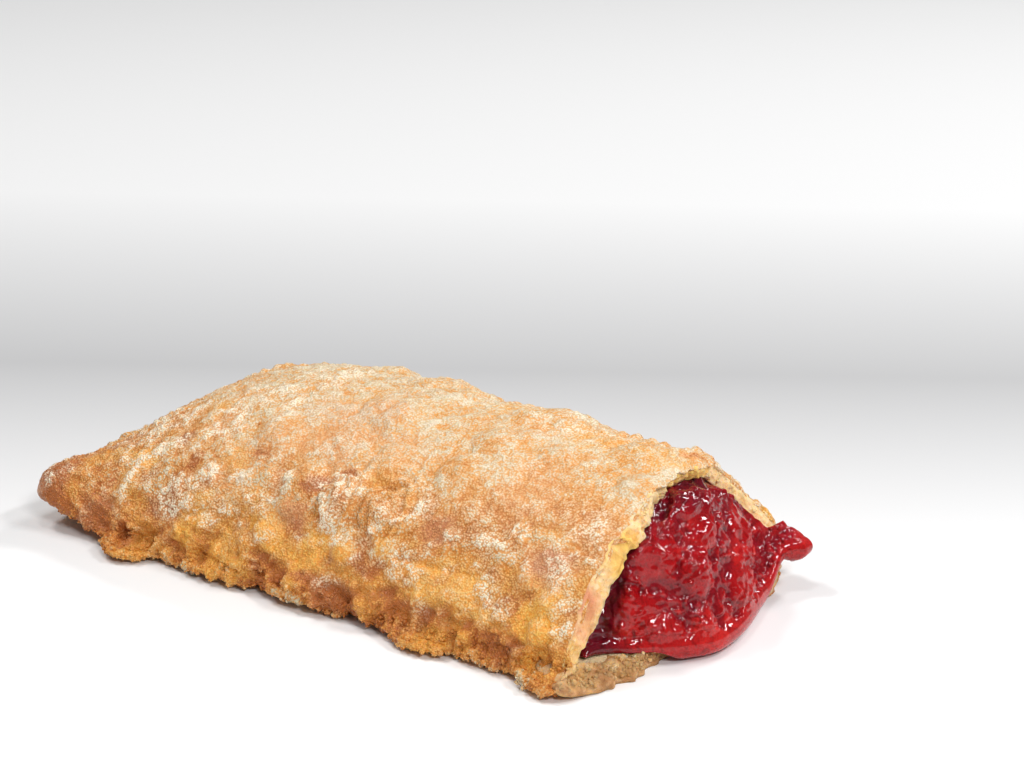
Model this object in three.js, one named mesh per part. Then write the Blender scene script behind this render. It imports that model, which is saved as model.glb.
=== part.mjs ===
// A fried hand pie: a long pocket of bubbly pastry, sealed at its sides and at one end, with the other
// end torn off, so that the cherry filling slides out of it onto the table.
//
// Millimetres. X runs from the sealed end to the torn end, Y runs across (the front side is negative),
// and Z is up from the table. Every surface is a function of two numbers, "along" the pie and "around"
// its section, both from 0 to 1. Around starts at the front edge, goes over the top to the back edge
// and returns underneath. A section is closed, and each solid starts and ends in a seam where the upper
// half of its section lies on the lower half, so the surface closes on itself.

import * as THREE from 'three';
import { ParametricGeometry } from 'three/addons/geometries/ParametricGeometry.js';
import { mergeVertices } from 'three/addons/utils/BufferGeometryUtils.js';

const { lerp, smoothstep } = THREE.MathUtils;

// Driving dimensions of the pastry.
const PIE_LENGTH = 120; // from the sealed end to the torn edge of the top
const PIE_WIDTH = 66;
const PIE_HEIGHT = 29.6; // at the crown, before the blisters
const SEALED_EDGE_HEIGHT = 8; // thickness of the sealed edge
const SEAM_HEIGHT = 3.4; // where the upper and the lower sheet meet
const END_ROUNDING = 3.4; // how far the sealed end is rounded over
const CORNER_ROUNDING = 6; // the sealed corners, seen from above
const TAPER_LENGTH = 54; // the pie grows to its full height over this length
const MOUTH_SAG = 0.04; // part of the height that is lost again at the torn end
const CROWN_OFFSET = 0.1; // the crown lies a little towards the back
const CROWN_FORM = { flatness: 2.2, fullness: 0.8 };
const EDGE_SQUARENESS = 12; // how blunt the sealed side edges are
const UNDERSIDE_HOLLOW = 0.5; // the pie rests on four pads, and between them its underside is hollowed
const PAD_PLACE = 30; // the pads begin this far from the middle of the length
const PAD_SLOPE = 12;
const SIDE_WOBBLE = 0.9; // the sides aren't quite straight
const SIDE_WOBBLE_LENGTH = 22;

// The front corner of the sealed end is drawn out and curls up.
const EAR_SIZE = 9;
const EAR_PULL = new THREE.Vector3(-0.6, -1.8, 3.6);

// The lower sheet stands out under the seam as a ragged fringe, which is widest at a few flaps.
const FRINGE_START = 12; // from the sealed end
const FRINGE_REACH = 1.8;
const FRINGE_WAVE = 0.9;
const FRINGE_WAVELENGTH = 6;
const FRINGE_HEIGHT = 3;

// The flaps: place along, side (-1 front, 1 back), half length, reach.
const FLAPS = [
  [24.5, -1, 6, 4.4],
  [45, -1, 9, 1.4],
  [91, -1, 7, 3],
  [118.5, -1, 7, 3.2],
  [38, 1, 8, 2.2],
  [80, 1, 10, 1.8],
];

// Relief of the fried skin.
const SWELL = 0.7; // broad swellings
const SWELL_SIZE = 13;
const CRAG = 0.4; // small crags
const CRAG_SIZE = 5.5;
const BLISTER = 1.5; // the bubbles' height
const BLISTER_CELL = 11; // about one bubble in each cell of this size

// The two largest blisters, half-way down the front slope: place along, place across, radius, height.
const LARGE_BLISTERS = [
  [58.5, -24.5, 5.2, 1.9],
  [68.5, -24, 6, 2.1],
];

// The torn end. The front wall and the floor are torn further out than the skin of the top.
const TEAR_JAG = 0.8;
const TEAR_JAG_SIZE = 4.5;
const LIP_LENGTH = 5.2; // the floor stands out as a lip
const FRONT_TEAR = 121; // the front and the back edge of the tear, from the sealed end
const BACK_TEAR = 123;
const BACK_DIP = 3; // behind the crown the tear runs in
const BACK_POINT = 3; // and low at the back it runs out to a point
const FRONT_SKIN = 1.8; // at the front wall the skin reaches further out
const CRUMB_STEP = 2.2; // the pale crumb is torn further out than the skin over it
const CREST_STEP = -1.5; // but at the crown the skin overhangs it
const LIP_STEP = -2;
const RIM_BULGE = 0.5;
const CRUMB_SIZE = 2.5;

// The hollow that the filling lies in.
const TOP_WALL = 3.5;
const FLOOR = 3; // thickness of the pastry under the filling
const CAVITY_START = 9; // from the sealed end
const CAVITY_ROUNDING = 7;
const CAVITY_WIDTH = 57;
const CAVITY_SEAM = 5; // height of the hollow's side edges
const CAVITY_NARROWING = 5; // of each side towards its far end
const CAVITY_FORM = { flatness: 2.4, fullness: 0.75 };

// The filling.
const GAP = 0.45; // kept to the pastry above and below
const SIDE_GAP = 1; // kept to the hollow's side edges
const TABLE_GAP = 0.25; // the tongue thins out just above the table
const TONGUE_START = 111; // here the filling starts to leave the hollow's form
const TONGUE_REACH = 14; // of the tongue past the front of the tear
const TONGUE_FALL = 5.5; // it reaches less far at the back
const NOTCH = 0.3; // between the tongue and the spur at the back
const SPUR = 2.6; // the spur's own reach
const SPUR_SPREAD = 5; // it spreads sideways past the pastry's back wall
const FRONT_PULL_IN = 1.5; // the tongue leaves the front wall free
const TONGUE_ROUNDING = 3; // its rounded front edge
const TONGUE_EDGE_HEIGHT = 2.8;
const MOUND_HEIGHT = 26; // the tongue rises towards this height
const MOUND_RUN = 9; // over about this length
const BACK_SLUMP = [0.42, 1.03]; // from one place across to the other the mound falls away outside
const FRONT_LIFT = 1.2; // the tongue's front corner lies on the lip
const BACK_LIFT = 5.2; // and its back corner stands over the lip
const LUMP = 0.9; // wrinkles of the jelly
const LUMP_SIZE = 6.5;

// Cherries that lie just under the jelly: place along, place across, radius, height.
const CHERRIES = [
  [124, -15, 6, 1.9],
  [131, -6, 5.4, 1.6],
  [127.5, 5, 5.6, 1.8],
  [121.5, -3.5, 5, 1.5],
  [129.5, 16, 5, 1.4],
  [120, 17, 6, 1.5],
  [128, 29, 5, 1.8],
];

// Grid. A section has as many steps above as below.
const AROUND_STEPS = 64;
const ROUNDED_ROWS = 4; // over a rounded end
const OUTER_ROWS = 42;
const RIM_ROWS = 4;
const CAVITY_ROWS = 15;
const CAVITY_GATHER = 1.2; // the hollow's rows stand closer at its far end
const TONGUE_ROWS = 18;

const CRUST_COLOUR = 0xdfae6a;
const FILLING_COLOUR = 0x9a1018;

// A repeatable value from 0 to 1 for each whole-numbered point of space.
function latticeValue(i, j, k) {
  const wave = Math.sin(i * 127.1 + j * 311.7 + k * 74.7) * 43758.5453;
  return wave - Math.floor(wave);
}

// Smooth unevenness from -1 to 1: the eight lattice values round a point, blended.
function noise(x, y, z) {
  const [i, j, k] = [Math.floor(x), Math.floor(y), Math.floor(z)];
  const [a, b, c] = [smoothstep(x - i, 0, 1), smoothstep(y - j, 0, 1), smoothstep(z - k, 0, 1)];
  let sum = 0;
  for (let corner = 0; corner < 8; corner++) {
    const [p, q, r] = [corner & 1, (corner >> 1) & 1, corner >> 2];
    const weight = (p ? a : 1 - a) * (q ? b : 1 - b) * (r ? c : 1 - c);
    sum += weight * latticeValue(i + p, j + q, k + r);
  }
  return 2 * sum - 1;
}

// Bubbles from 0 to 1: each cell of space holds one ball, and the highest ball counts.
function bubbles(x, y, z) {
  const [i, j, k] = [Math.floor(x), Math.floor(y), Math.floor(z)];
  let highest = 0;
  for (let near = 0; near < 27; near++) {
    const cell = [i + (near % 3) - 1, j + (Math.floor(near / 3) % 3) - 1, k + Math.floor(near / 9) - 1];
    const [a, b, c] = cell;
    const centre = [a + latticeValue(a, b, c), b + latticeValue(b, c, a), c + latticeValue(c, a, b)];
    const radius = lerp(0.3, 0.62, latticeValue(a + 0.5, b, c));
    const distance = Math.hypot(x - centre[0], y - centre[1], z - centre[2]);
    highest = Math.max(highest, (1 - (distance / radius) ** 2) * (radius / 0.62));
  }
  return highest;
}

// A round bump, in the plan, from 1 at its middle to 0 at its rim.
function bump(x, y, [bumpX, bumpY, radius]) {
  const distance = Math.hypot(x - bumpX, y - bumpY) / radius;
  return distance < 1 ? (1 - distance * distance) ** 1.5 : 0;
}

// The smaller of two heights that are zero or more, with the corner between them rounded off.
function softMinimum(a, b) {
  return Math.min(a, b) < 1e-6 ? 0 : (a ** -8 + b ** -8) ** -0.125;
}

// The height of a quarter circle: 0 at the start, 1 from one radius on.
function quarterRound(distance, radius) {
  const left = Math.max(0, 1 - distance / radius);
  return Math.sqrt(Math.max(0, 1 - left * left));
}

// Turns "around" into the place across, from -1 at the front edge to 1 at the back edge, with the steps
// gathered towards the two edges.
function sectionPlace(around) {
  return { across: -Math.cos(2 * Math.PI * around), above: around < 0.5 };
}

// How full the blunt side edge is: 1 over the flat middle, falling steeply to 0 at the edge.
function edgeFullness(across) {
  return Math.sqrt(Math.max(0, 1 - Math.abs(across) ** EDGE_SQUARENESS));
}

// Height of the pie along its length, as a part of the full height over the sealed edge.
function ridge(x) {
  const rise = 1 - (1 - Math.min(x / TAPER_LENGTH, 1)) ** 2.5;
  const sag = MOUTH_SAG * smoothstep(x, PIE_LENGTH / 2, PIE_LENGTH);
  return rise * (1 - sag);
}

// The crown's rounded section, 1 at its top and 0 at the side edges.
function crown(across, { flatness, fullness }) {
  const leaning = across - CROWN_OFFSET * (1 - across * across);
  return Math.max(0, 1 - Math.abs(leaning) ** flatness) ** fullness;
}

function crustTop(x, across) {
  const edge = SEAM_HEIGHT + (SEALED_EDGE_HEIGHT - SEAM_HEIGHT) * edgeFullness(across);
  return edge + (PIE_HEIGHT - SEALED_EDGE_HEIGHT) * ridge(x) * crown(across, CROWN_FORM);
}

function crustUnderside(x, across) {
  const towardsEnds = smoothstep(Math.abs(x - PIE_LENGTH / 2), PAD_PLACE - PAD_SLOPE, PAD_PLACE);
  const towardsSides = smoothstep(Math.abs(across), 0.2, 0.5);
  const hollow = UNDERSIDE_HOLLOW * (1 - towardsEnds * towardsSides);
  return lerp(SEAM_HEIGHT, hollow, edgeFullness(across));
}

// The relief stands on the skin, and fades out where the pie lies on the table.
function skinRelief(x, y, z) {
  const swell = SWELL * noise(x / SWELL_SIZE, y / SWELL_SIZE, z / SWELL_SIZE);
  const crag = CRAG * noise(x / CRAG_SIZE, y / CRAG_SIZE, z / CRAG_SIZE);
  const blister = BLISTER * bubbles(x / BLISTER_CELL, y / BLISTER_CELL, z / BLISTER_CELL);
  let relief = swell + crag + blister;
  for (const large of LARGE_BLISTERS) {
    relief = Math.max(relief, large[3] * bump(x, y, large));
  }
  return relief * smoothstep(z, 0.5, 5);
}

// How far the lower sheet's fringe stands out at a point of the section.
function fringe(x, z, across) {
  const side = Math.sign(across);
  let reach = FRINGE_REACH + FRINGE_WAVE * noise(x / FRINGE_WAVELENGTH, side * 5.5, 2.5);
  for (const [place, flapSide, halfLength, flapReach] of FLAPS) {
    const away = (x - place) / halfLength;
    if (flapSide === side) reach += flapReach * Math.max(0, 1 - away * away);
  }
  const begun = smoothstep(x, FRINGE_START, FRINGE_START + 5);
  const low = 1 - smoothstep(z, FRINGE_HEIGHT * 0.4, FRINGE_HEIGHT * 1.3);
  return reach * begun * low * smoothstep(Math.abs(across), 0.8, 0.98);
}

// Bends a point of the plain pocket into the real one: wobbling sides, fringe, relief and ear.
function weather(point, across) {
  const { x, y, z } = point;
  const outward = new THREE.Vector3(0, y / PIE_WIDTH ** 2, z / PIE_HEIGHT ** 2 / 4).normalize();
  point.addScaledVector(outward, skinRelief(x, y, z));
  const side = Math.sign(across);
  const wobble = SIDE_WOBBLE * noise(x / SIDE_WOBBLE_LENGTH, side * 3.5, 7.5) * Math.abs(across) ** 3;
  point.y += side * (wobble + fringe(x, z, across));
  const closeness = Math.exp(-(x * x + (y + PIE_WIDTH / 2) ** 2) / (2 * EAR_SIZE * EAR_SIZE));
  point.addScaledVector(EAR_PULL, closeness);
  return point;
}

// Where the skin is torn through, from the sealed end.
function tearPlace(across, above) {
  const level = (above ? 3 : -3) * edgeFullness(across);
  const jag = TEAR_JAG * noise((across * PIE_WIDTH) / 2 / TEAR_JAG_SIZE, level, 4.5);
  const edge = lerp(FRONT_TEAR, BACK_TEAR, (across + 1) / 2);
  if (!above) return edge + LIP_LENGTH * (1 - Math.abs(across) ** 9) + jag;
  const dip = BACK_DIP * Math.exp(-(((across - 0.62) / 0.2) ** 2));
  const point = BACK_POINT * Math.exp(-(((across - 0.94) / 0.05) ** 2));
  const front = FRONT_SKIN * smoothstep(-across, 0, 0.55) * (1 - Math.abs(across) ** 12);
  const flat = PIE_LENGTH + 0.8 * Math.cos(Math.PI * (across - 0.25)) - dip;
  return lerp(flat, edge, Math.abs(across) ** 10) + front + point + jag;
}

// How much further out than the skin the crumb is torn.
function crumbStep(across, above) {
  const away = 1 - Math.abs(across) ** 12;
  if (!above) return LIP_STEP * away;
  const front = CRUMB_STEP * smoothstep(-across, 0, 0.55);
  const crest = CREST_STEP * Math.exp(-(((across - 0.2) / 0.25) ** 2));
  return (front + crest) * away;
}

function outerSurface(x, across, above, roundness) {
  const height = above ? crustTop(x, across) : crustUnderside(x, across);
  const halfWidth = PIE_WIDTH / 2 - CORNER_ROUNDING * (1 - quarterRound(x, CORNER_ROUNDING));
  const z = lerp(SEAM_HEIGHT, height, roundness);
  return weather(new THREE.Vector3(x, halfWidth * across, z), across);
}

function cavityCeiling(x, across) {
  const crest = SEALED_EDGE_HEIGHT + (PIE_HEIGHT - SEALED_EDGE_HEIGHT) * ridge(x) - TOP_WALL;
  return CAVITY_SEAM + (crest - CAVITY_SEAM) * crown(across, CAVITY_FORM);
}

function cavityFloor(across) {
  return lerp(CAVITY_SEAM, FLOOR, edgeFullness(across));
}

// The hollow, or a body of the same form that is smaller by the two clearances.
function cavitySurface(x, across, above, clearance, sideClearance) {
  const roundness = quarterRound(x - CAVITY_START - sideClearance, CAVITY_ROUNDING);
  const height = above ? cavityCeiling(x, across) : cavityFloor(across);
  const inset = clearance * edgeFullness(across) * (above ? -1 : 1);
  const halfWidth = CAVITY_WIDTH / 2 - sideClearance - CAVITY_NARROWING * (1 - roundness);
  return new THREE.Vector3(x, halfWidth * across, lerp(CAVITY_SEAM, height + inset, roundness));
}

// The torn rim between the skin and the hollow: pale, uneven crumb.
function rimSurface(step, across, above) {
  const tear = tearPlace(across, above);
  const skin = outerSurface(tear, across, above, 1);
  const inside = cavitySurface(tear + crumbStep(across, above), across, above, 0, 0);
  const point = skin.lerp(inside, step);
  const middle = 4 * step * (1 - step);
  const crumb = noise(point.x / CRUMB_SIZE, point.y / CRUMB_SIZE, point.z / CRUMB_SIZE);
  point.x += middle * (RIM_BULGE + CRAG * crumb);
  return point;
}

// The pastry: over the outside from the sealed end to the tear, across the rim, and back along the
// hollow to the seam at its far end.
function crustSurface(along, around, target) {
  const { across, above } = sectionPlace(around);
  const row = along * (OUTER_ROWS + RIM_ROWS + CAVITY_ROWS);
  if (row <= ROUNDED_ROWS) {
    const angle = (Math.PI / 2) * (row / ROUNDED_ROWS);
    target.copy(outerSurface(END_ROUNDING * (1 - Math.cos(angle)), across, above, Math.sin(angle)));
  } else if (row <= OUTER_ROWS) {
    const part = (row - ROUNDED_ROWS) / (OUTER_ROWS - ROUNDED_ROWS);
    target.copy(outerSurface(lerp(END_ROUNDING, tearPlace(across, above), part), across, above, 1));
  } else if (row <= OUTER_ROWS + RIM_ROWS) {
    target.copy(rimSurface((row - OUTER_ROWS) / RIM_ROWS, across, above));
  } else {
    const left = (OUTER_ROWS + RIM_ROWS + CAVITY_ROWS - row) / CAVITY_ROWS;
    const mouth = tearPlace(across, above) + crumbStep(across, above);
    target.copy(cavitySurface(lerp(CAVITY_START, mouth, left ** CAVITY_GATHER), across, above, 0, 0));
  }
}

// Plan of the tongue: how far it reaches, from the sealed end. A blunt spur ends it at the back.
function tonguePlan(across) {
  const reach = TONGUE_REACH * smoothstep(across, -0.97, -0.12);
  const fall = TONGUE_FALL * smoothstep(across, -0.05, 0.95);
  const notch = NOTCH * Math.exp(-(((across - 0.8) / 0.06) ** 2));
  const spur = SPUR * (smoothstep(across, 0.82, 0.9) - 1.5 * smoothstep(across, 0.965, 1));
  return FRONT_TEAR + reach - fall - notch + spur;
}

// What the filling lies on: the pastry's floor, and past the lip the table.
function supportHeight(x, across) {
  const lip = tearPlace(across, false) + TEAR_JAG;
  const onTable = smoothstep(x, lip, lip + 2.5);
  const lift = BACK_LIFT * smoothstep(across, 0.62, 0.86) * smoothstep(x, 122.5, 127.5);
  return lerp(FLOOR + GAP, TABLE_GAP, onTable) + 0.95 * lift;
}

// Cherries and wrinkles under the filling's shining skin.
function lumps(x, y, distance) {
  let height = LUMP * noise(x / LUMP_SIZE, y / LUMP_SIZE, 3.5);
  for (const cherry of CHERRIES) {
    height = Math.max(height, cherry[3] * bump(x, y, cherry));
  }
  return height * smoothstep(distance, 0.5, 4) * smoothstep(x, 112, 118);
}

// How high the filling may stand under the pastry. Past the torn rim it is free, except behind the crown,
// where it keeps below the rim for a few millimetres more.
function headroom(x, y, seam, across) {
  const inside = THREE.MathUtils.clamp(y / (CAVITY_WIDTH / 2), -1, 1);
  const rim = tearPlace(across, true) + Math.max(0, crumbStep(across, true)) + 1.5;
  const behindCrown = smoothstep(across, 0.2, 0.4) * (1 - smoothstep(across, 0.8, 0.92));
  const keptLow = 0.97 * behindCrown * (1 - smoothstep(x, 124, 129));
  const free = PIE_HEIGHT * (1 - keptLow) * smoothstep(x, rim, rim + 5);
  return Math.max(0, cavityCeiling(x, inside) - GAP - seam) + free;
}

// The tongue: it slopes down from the hollow to a rounded edge, which follows its plan.
function tongueSurface(x, across, above) {
  const distance = Math.max(0, tonguePlan(across) - x);
  const rounded = quarterRound(distance, TONGUE_ROUNDING);
  const out = smoothstep(x, TONGUE_START, FRONT_TEAR - 3);
  const pullIn = FRONT_PULL_IN * out * smoothstep(-across, 0.4, 1);
  const spread = SPUR_SPREAD * smoothstep(x, BACK_TEAR + 2.5, BACK_TEAR + 5.5) * smoothstep(across, 0.6, 1);
  const y = (CAVITY_WIDTH / 2 - SIDE_GAP) * across + pullIn + spread;
  const support = supportHeight(x, across);
  const lift = FRONT_LIFT * smoothstep(-across, 0.6, 0.95) + BACK_LIFT * smoothstep(across, 0.62, 0.86);
  const edge = TONGUE_EDGE_HEIGHT + lift;
  const seam = Math.max(lerp(edge, CAVITY_SEAM, smoothstep(distance, 1, 10)), support + GAP);
  if (!above) {
    const depth = (seam - support) * edgeFullness(across) * rounded;
    return new THREE.Vector3(x, y, seam - depth);
  }
  const slump = smoothstep(across, ...BACK_SLUMP) * smoothstep(x, 121, 127);
  const run = Math.max(0, distance - TONGUE_ROUNDING / 2);
  const mound = MOUND_HEIGHT * (1 - Math.exp(-run / MOUND_RUN)) * (1 - slump);
  const free = TONGUE_EDGE_HEIGHT * rounded + mound + lumps(x, y, distance);
  const side = Math.sqrt(Math.max(0, 1 - Math.abs(across) ** lerp(24, 10, out)));
  return new THREE.Vector3(x, y, seam + side * softMinimum(headroom(x, y, seam, across), free));
}

// The filling: it fills the hollow up to the mouth, and then runs out as the tongue.
function fillingSurface(along, around, target) {
  const { across, above } = sectionPlace(around);
  const row = along * (CAVITY_ROWS + TONGUE_ROWS);
  if (row <= CAVITY_ROWS) {
    const x = lerp(CAVITY_START + SIDE_GAP, TONGUE_START, (row / CAVITY_ROWS) ** CAVITY_GATHER);
    target.copy(cavitySurface(x, across, above, GAP, SIDE_GAP));
  } else {
    const out = Math.sin((Math.PI / 2) * ((row - CAVITY_ROWS) / TONGUE_ROWS));
    target.copy(tongueSurface(lerp(TONGUE_START, tonguePlan(across), out), across, above));
  }
}

// A closed solid from a surface that closes on itself.
function solidOf(surface, rows, name, material) {
  const geometry = new ParametricGeometry(surface, rows, AROUND_STEPS);
  geometry.deleteAttribute('normal');
  geometry.deleteAttribute('uv');
  const closed = mergeVertices(geometry);
  closed.computeVertexNormals();
  const mesh = new THREE.Mesh(closed, material);
  mesh.name = name;
  return mesh;
}

function makeCrust() {
  const material = new THREE.MeshStandardMaterial({ color: CRUST_COLOUR, roughness: 0.8, metalness: 0 });
  return solidOf(crustSurface, OUTER_ROWS + RIM_ROWS + CAVITY_ROWS, 'crust', material);
}

function makeFilling() {
  const material = new THREE.MeshStandardMaterial({ color: FILLING_COLOUR, roughness: 0.15, metalness: 0 });
  return solidOf(fillingSurface, CAVITY_ROWS + TONGUE_ROWS, 'cherry_filling', material);
}

// The finished pie stands on the table, with the middle of its box over the origin.
function makePie() {
  const pie = new THREE.Group();
  pie.add(makeCrust(), makeFilling());
  const box = new THREE.Box3().setFromObject(pie);
  const middle = box.getCenter(new THREE.Vector3());
  pie.position.set(-middle.x, -middle.y, -box.min.z);
  return pie;
}

export default makePie();
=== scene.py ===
# %% [markdown]
# # A fried cherry hand pie
# The pie is an oblong pocket of pastry. Its sides and one end are sealed, and the other end is torn off,
# so the red filling slides out. The plain solids give the pie's form and size. This lesson makes the
# finer surface over the same form: bubbled and browned skin, pale torn crumb and wet jelly.
#
# Each surface is a function of two numbers, "along" the pie and "around" its section, worked out with
# numpy as whole arrays. Lengths are in millimetres in the pie's own frame, where x runs from the sealed
# end, y runs across (the front is negative) and z is up. They become metres when a mesh is made.

import math

import bpy
import numpy as np
from mathutils import Matrix, Vector


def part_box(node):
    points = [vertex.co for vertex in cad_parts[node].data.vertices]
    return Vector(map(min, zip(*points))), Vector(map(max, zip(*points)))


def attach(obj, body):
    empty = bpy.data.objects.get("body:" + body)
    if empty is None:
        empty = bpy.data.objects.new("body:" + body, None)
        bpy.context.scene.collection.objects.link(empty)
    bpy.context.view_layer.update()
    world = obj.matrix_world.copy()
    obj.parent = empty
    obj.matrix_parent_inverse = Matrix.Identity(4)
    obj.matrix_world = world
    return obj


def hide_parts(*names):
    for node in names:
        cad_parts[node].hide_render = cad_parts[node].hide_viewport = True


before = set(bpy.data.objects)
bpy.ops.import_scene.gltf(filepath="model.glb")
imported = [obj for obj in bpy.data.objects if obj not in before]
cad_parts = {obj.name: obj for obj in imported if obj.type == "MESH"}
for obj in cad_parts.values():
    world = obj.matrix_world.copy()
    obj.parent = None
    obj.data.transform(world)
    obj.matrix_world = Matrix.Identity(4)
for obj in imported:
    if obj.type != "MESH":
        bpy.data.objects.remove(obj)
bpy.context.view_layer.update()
print("solids:", sorted(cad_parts))

# %% [markdown]
# ## Camera
# The pie is seen from its front side, from a little above, through a long lens that hardly makes the
# near end look larger. A place and three angles say it fully.

# %% Camera
CAMERA_PLACE = Vector((0.2672, -0.3514, 0.1886))
CAMERA_AZIMUTH = math.radians(35.12)
CAMERA_ELEVATION = math.radians(19.32)
CAMERA_ROLL = math.radians(1.04)
LENS = 90.75  # on a sensor 36 mm wide


def make_camera():
    """The camera looks against "back", the direction with this azimuth and elevation, and is rolled."""
    level = math.cos(CAMERA_ELEVATION)
    back = Vector((
        math.sin(CAMERA_AZIMUTH) * level,
        -math.cos(CAMERA_AZIMUTH) * level,
        math.sin(CAMERA_ELEVATION),
    ))
    right = Vector((math.cos(CAMERA_AZIMUTH), math.sin(CAMERA_AZIMUTH), 0))
    axes = Matrix((right, back.cross(right), back)).transposed()
    camera = bpy.data.objects.new("camera", bpy.data.cameras.new("camera"))
    camera.data.lens = LENS
    camera.data.sensor_width = 36
    camera.data.clip_start = 0.01
    turn = axes.to_4x4() @ Matrix.Rotation(CAMERA_ROLL, 4, "Z")
    camera.matrix_world = Matrix.Translation(CAMERA_PLACE) @ turn
    bpy.context.scene.collection.objects.link(camera)
    bpy.context.scene.camera = camera
    return camera


print("camera at", tuple(round(v, 3) for v in make_camera().location))

# %% [markdown]
# ## Unevenness
# Pastry is uneven in many ways at once. Three small functions make all of it: a repeatable value for
# each whole-numbered point of space, smooth noise between those values, and round bubbles. They need no
# random draw, so the pie is the same each time.


# %% Noise and bubbles
BUBBLE_RADII = (0.3, 0.62)  # smallest and largest, in cells


def smoothstep(value, low, high):
    """0 below low, 1 above high, and 3t^2 - 2t^3 between them."""
    t = np.clip((value - low) / (high - low), 0, 1)
    return t * t * (3 - 2 * t)


def lerp(start, end, part):
    """The value this part of the way from start to end."""
    return start + (end - start) * part


def bell(distance, width):
    """A bell curve: 1 at distance 0, about a third at this width, and nearly 0 at twice the width."""
    return np.exp(-((distance / width) ** 2))


def hill(place, form):
    """A bell curve with this height, middle and width."""
    height, middle, width = form
    return height * bell(place - middle, width)


def lattice(i, j, k):
    """From 0 to 1 for each whole-numbered point: what a large multiple of a sine leaves over."""
    wave = np.sin(i * 127.1 + j * 311.7 + k * 74.7) * 43758.5453
    return wave - np.floor(wave)


def noise(x, y, z):
    """From -1 to 1: the values at the eight whole-numbered points round a point, blended smoothly."""
    x, y, z = np.broadcast_arrays(x, y, z)
    i, j, k = np.floor(x), np.floor(y), np.floor(z)
    a, b, c = smoothstep(x - i, 0, 1), smoothstep(y - j, 0, 1), smoothstep(z - k, 0, 1)
    total = 0
    for corner in range(8):
        p, q, r = corner & 1, (corner >> 1) & 1, corner >> 2
        weight = (a if p else 1 - a) * (b if q else 1 - b) * (c if r else 1 - c)
        total = total + weight * lattice(i + p, j + q, k + r)
    return 2 * total - 1


def fractal(x, y, z, octaves):
    """Noise plus half as much at half the size, and so on, each moved 5 across from the last."""
    return sum(noise(x * 2**n, y * 2**n + 5 * n, z * 2**n) / 2**n for n in range(octaves))


def bubbles(x, y, z):
    """From 0 to 1: each cell of space holds one ball, and the highest ball counts."""
    x, y, z = np.broadcast_arrays(x, y, z)
    i, j, k = np.floor(x), np.floor(y), np.floor(z)
    highest = np.zeros(x.shape)
    for near in range(27):
        a, b, c = i + near % 3 - 1, j + near // 3 % 3 - 1, k + near // 9 - 1
        dx, dy, dz = x - a - lattice(a, b, c), y - b - lattice(b, c, a), z - c - lattice(c, a, b)
        radius = lerp(*BUBBLE_RADII, lattice(a + 0.5, b, c))
        height = (1 - (dx**2 + dy**2 + dz**2) / radius**2) * radius / BUBBLE_RADII[1]
        highest = np.maximum(highest, height)
    return highest


print("noise at one point:", round(float(noise(0.3, 0.6, 0.9)), 3))

# %% [markdown]
# ## The pastry's form
# These are the driving dimensions and formulas of the solids, so that the finished surface lies where the
# solids are. The section of the pie has a blunt sealed edge on each side and a rounded crown. A ragged
# fringe stands out below the seam, and one corner is drawn out into an ear.

# %% Pastry dimensions
PIE_LENGTH, PIE_WIDTH, PIE_HEIGHT = 120, 66, 29.6
SEALED_EDGE_HEIGHT, SEAM_HEIGHT = 8, 3.4
END_ROUNDING, CORNER_ROUNDING, TAPER_LENGTH = 3.4, 6, 54
MOUTH_SAG, CROWN_OFFSET, EDGE_SQUARENESS = 0.04, 0.1, 12
CROWN_FORM = (2.2, 0.8)  # flatness and fullness
UNDERSIDE_HOLLOW, PAD_PLACE, PAD_SLOPE = 0.5, 30, 12
SIDE_WOBBLE, SIDE_WOBBLE_LENGTH = 0.9, 22
EAR_SIZE, EAR_PULL = 9, (-0.6, -1.8, 3.6)
FRINGE_START, FRINGE_REACH, FRINGE_WAVE, FRINGE_WAVELENGTH, FRINGE_HEIGHT = 12, 1.8, 0.9, 6, 3
# The flaps of the fringe: place along, side (-1 front, 1 back), half length, reach.
FLAPS = [
    (24.5, -1, 6, 4.4), (45, -1, 9, 1.4), (91, -1, 7, 3),
    (118.5, -1, 7, 3.2), (38, 1, 8, 2.2), (80, 1, 10, 1.8),
]
SWELL, SWELL_SIZE, CRAG, CRAG_SIZE, BLISTER, BLISTER_CELL = 0.7, 13, 0.4, 5.5, 1.5, 11
# The two largest blisters: place along, place across, radius, height.
LARGE_BLISTERS = [(58.5, -24.5, 5.2, 1.9), (68.5, -24, 6, 2.1)]
TEAR_JAG, TEAR_JAG_SIZE, LIP_LENGTH, FRONT_TEAR, BACK_TEAR = 0.8, 4.5, 5.2, 121, 123
# Behind the crown the tear runs in, and low at the back it runs out to a point. Each of these hills has
# a height, a middle across and a width.
BACK_DIP, BACK_POINT = (-3, 0.62, 0.2), (3, 0.94, 0.05)
TOP_WAVE, TOP_WAVE_PLACE = 0.8, 0.25  # the tear's gentle wave over the top, and where across it crests
FRONT_WALL = 0.55  # in front of the middle by this part of the half width
FRONT_SKIN = 1.8  # the skin reaches further out there
# How much further out than the skin the crumb is torn: at the front wall, on the lip, on the crest.
CRUMB_STEP, LIP_STEP, CREST_STEP = 2.2, -2, (-1.5, 0.2, 0.25)
RIM_BULGE = 0.5  # of the torn face between skin and filling
TOP_WALL, FLOOR_WALL, CAVITY_START, CAVITY_ROUNDING, CAVITY_WIDTH = 3.5, 3, 9, 7, 57
CAVITY_SEAM, CAVITY_NARROWING, CAVITY_FORM = 5, 5, (2.4, 0.75)
print("pastry:", PIE_LENGTH, "by", PIE_WIDTH, "by", PIE_HEIGHT, "mm")


# %% Pastry section
UNDER_SHARE = 4  # one step underneath for this many above


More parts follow.
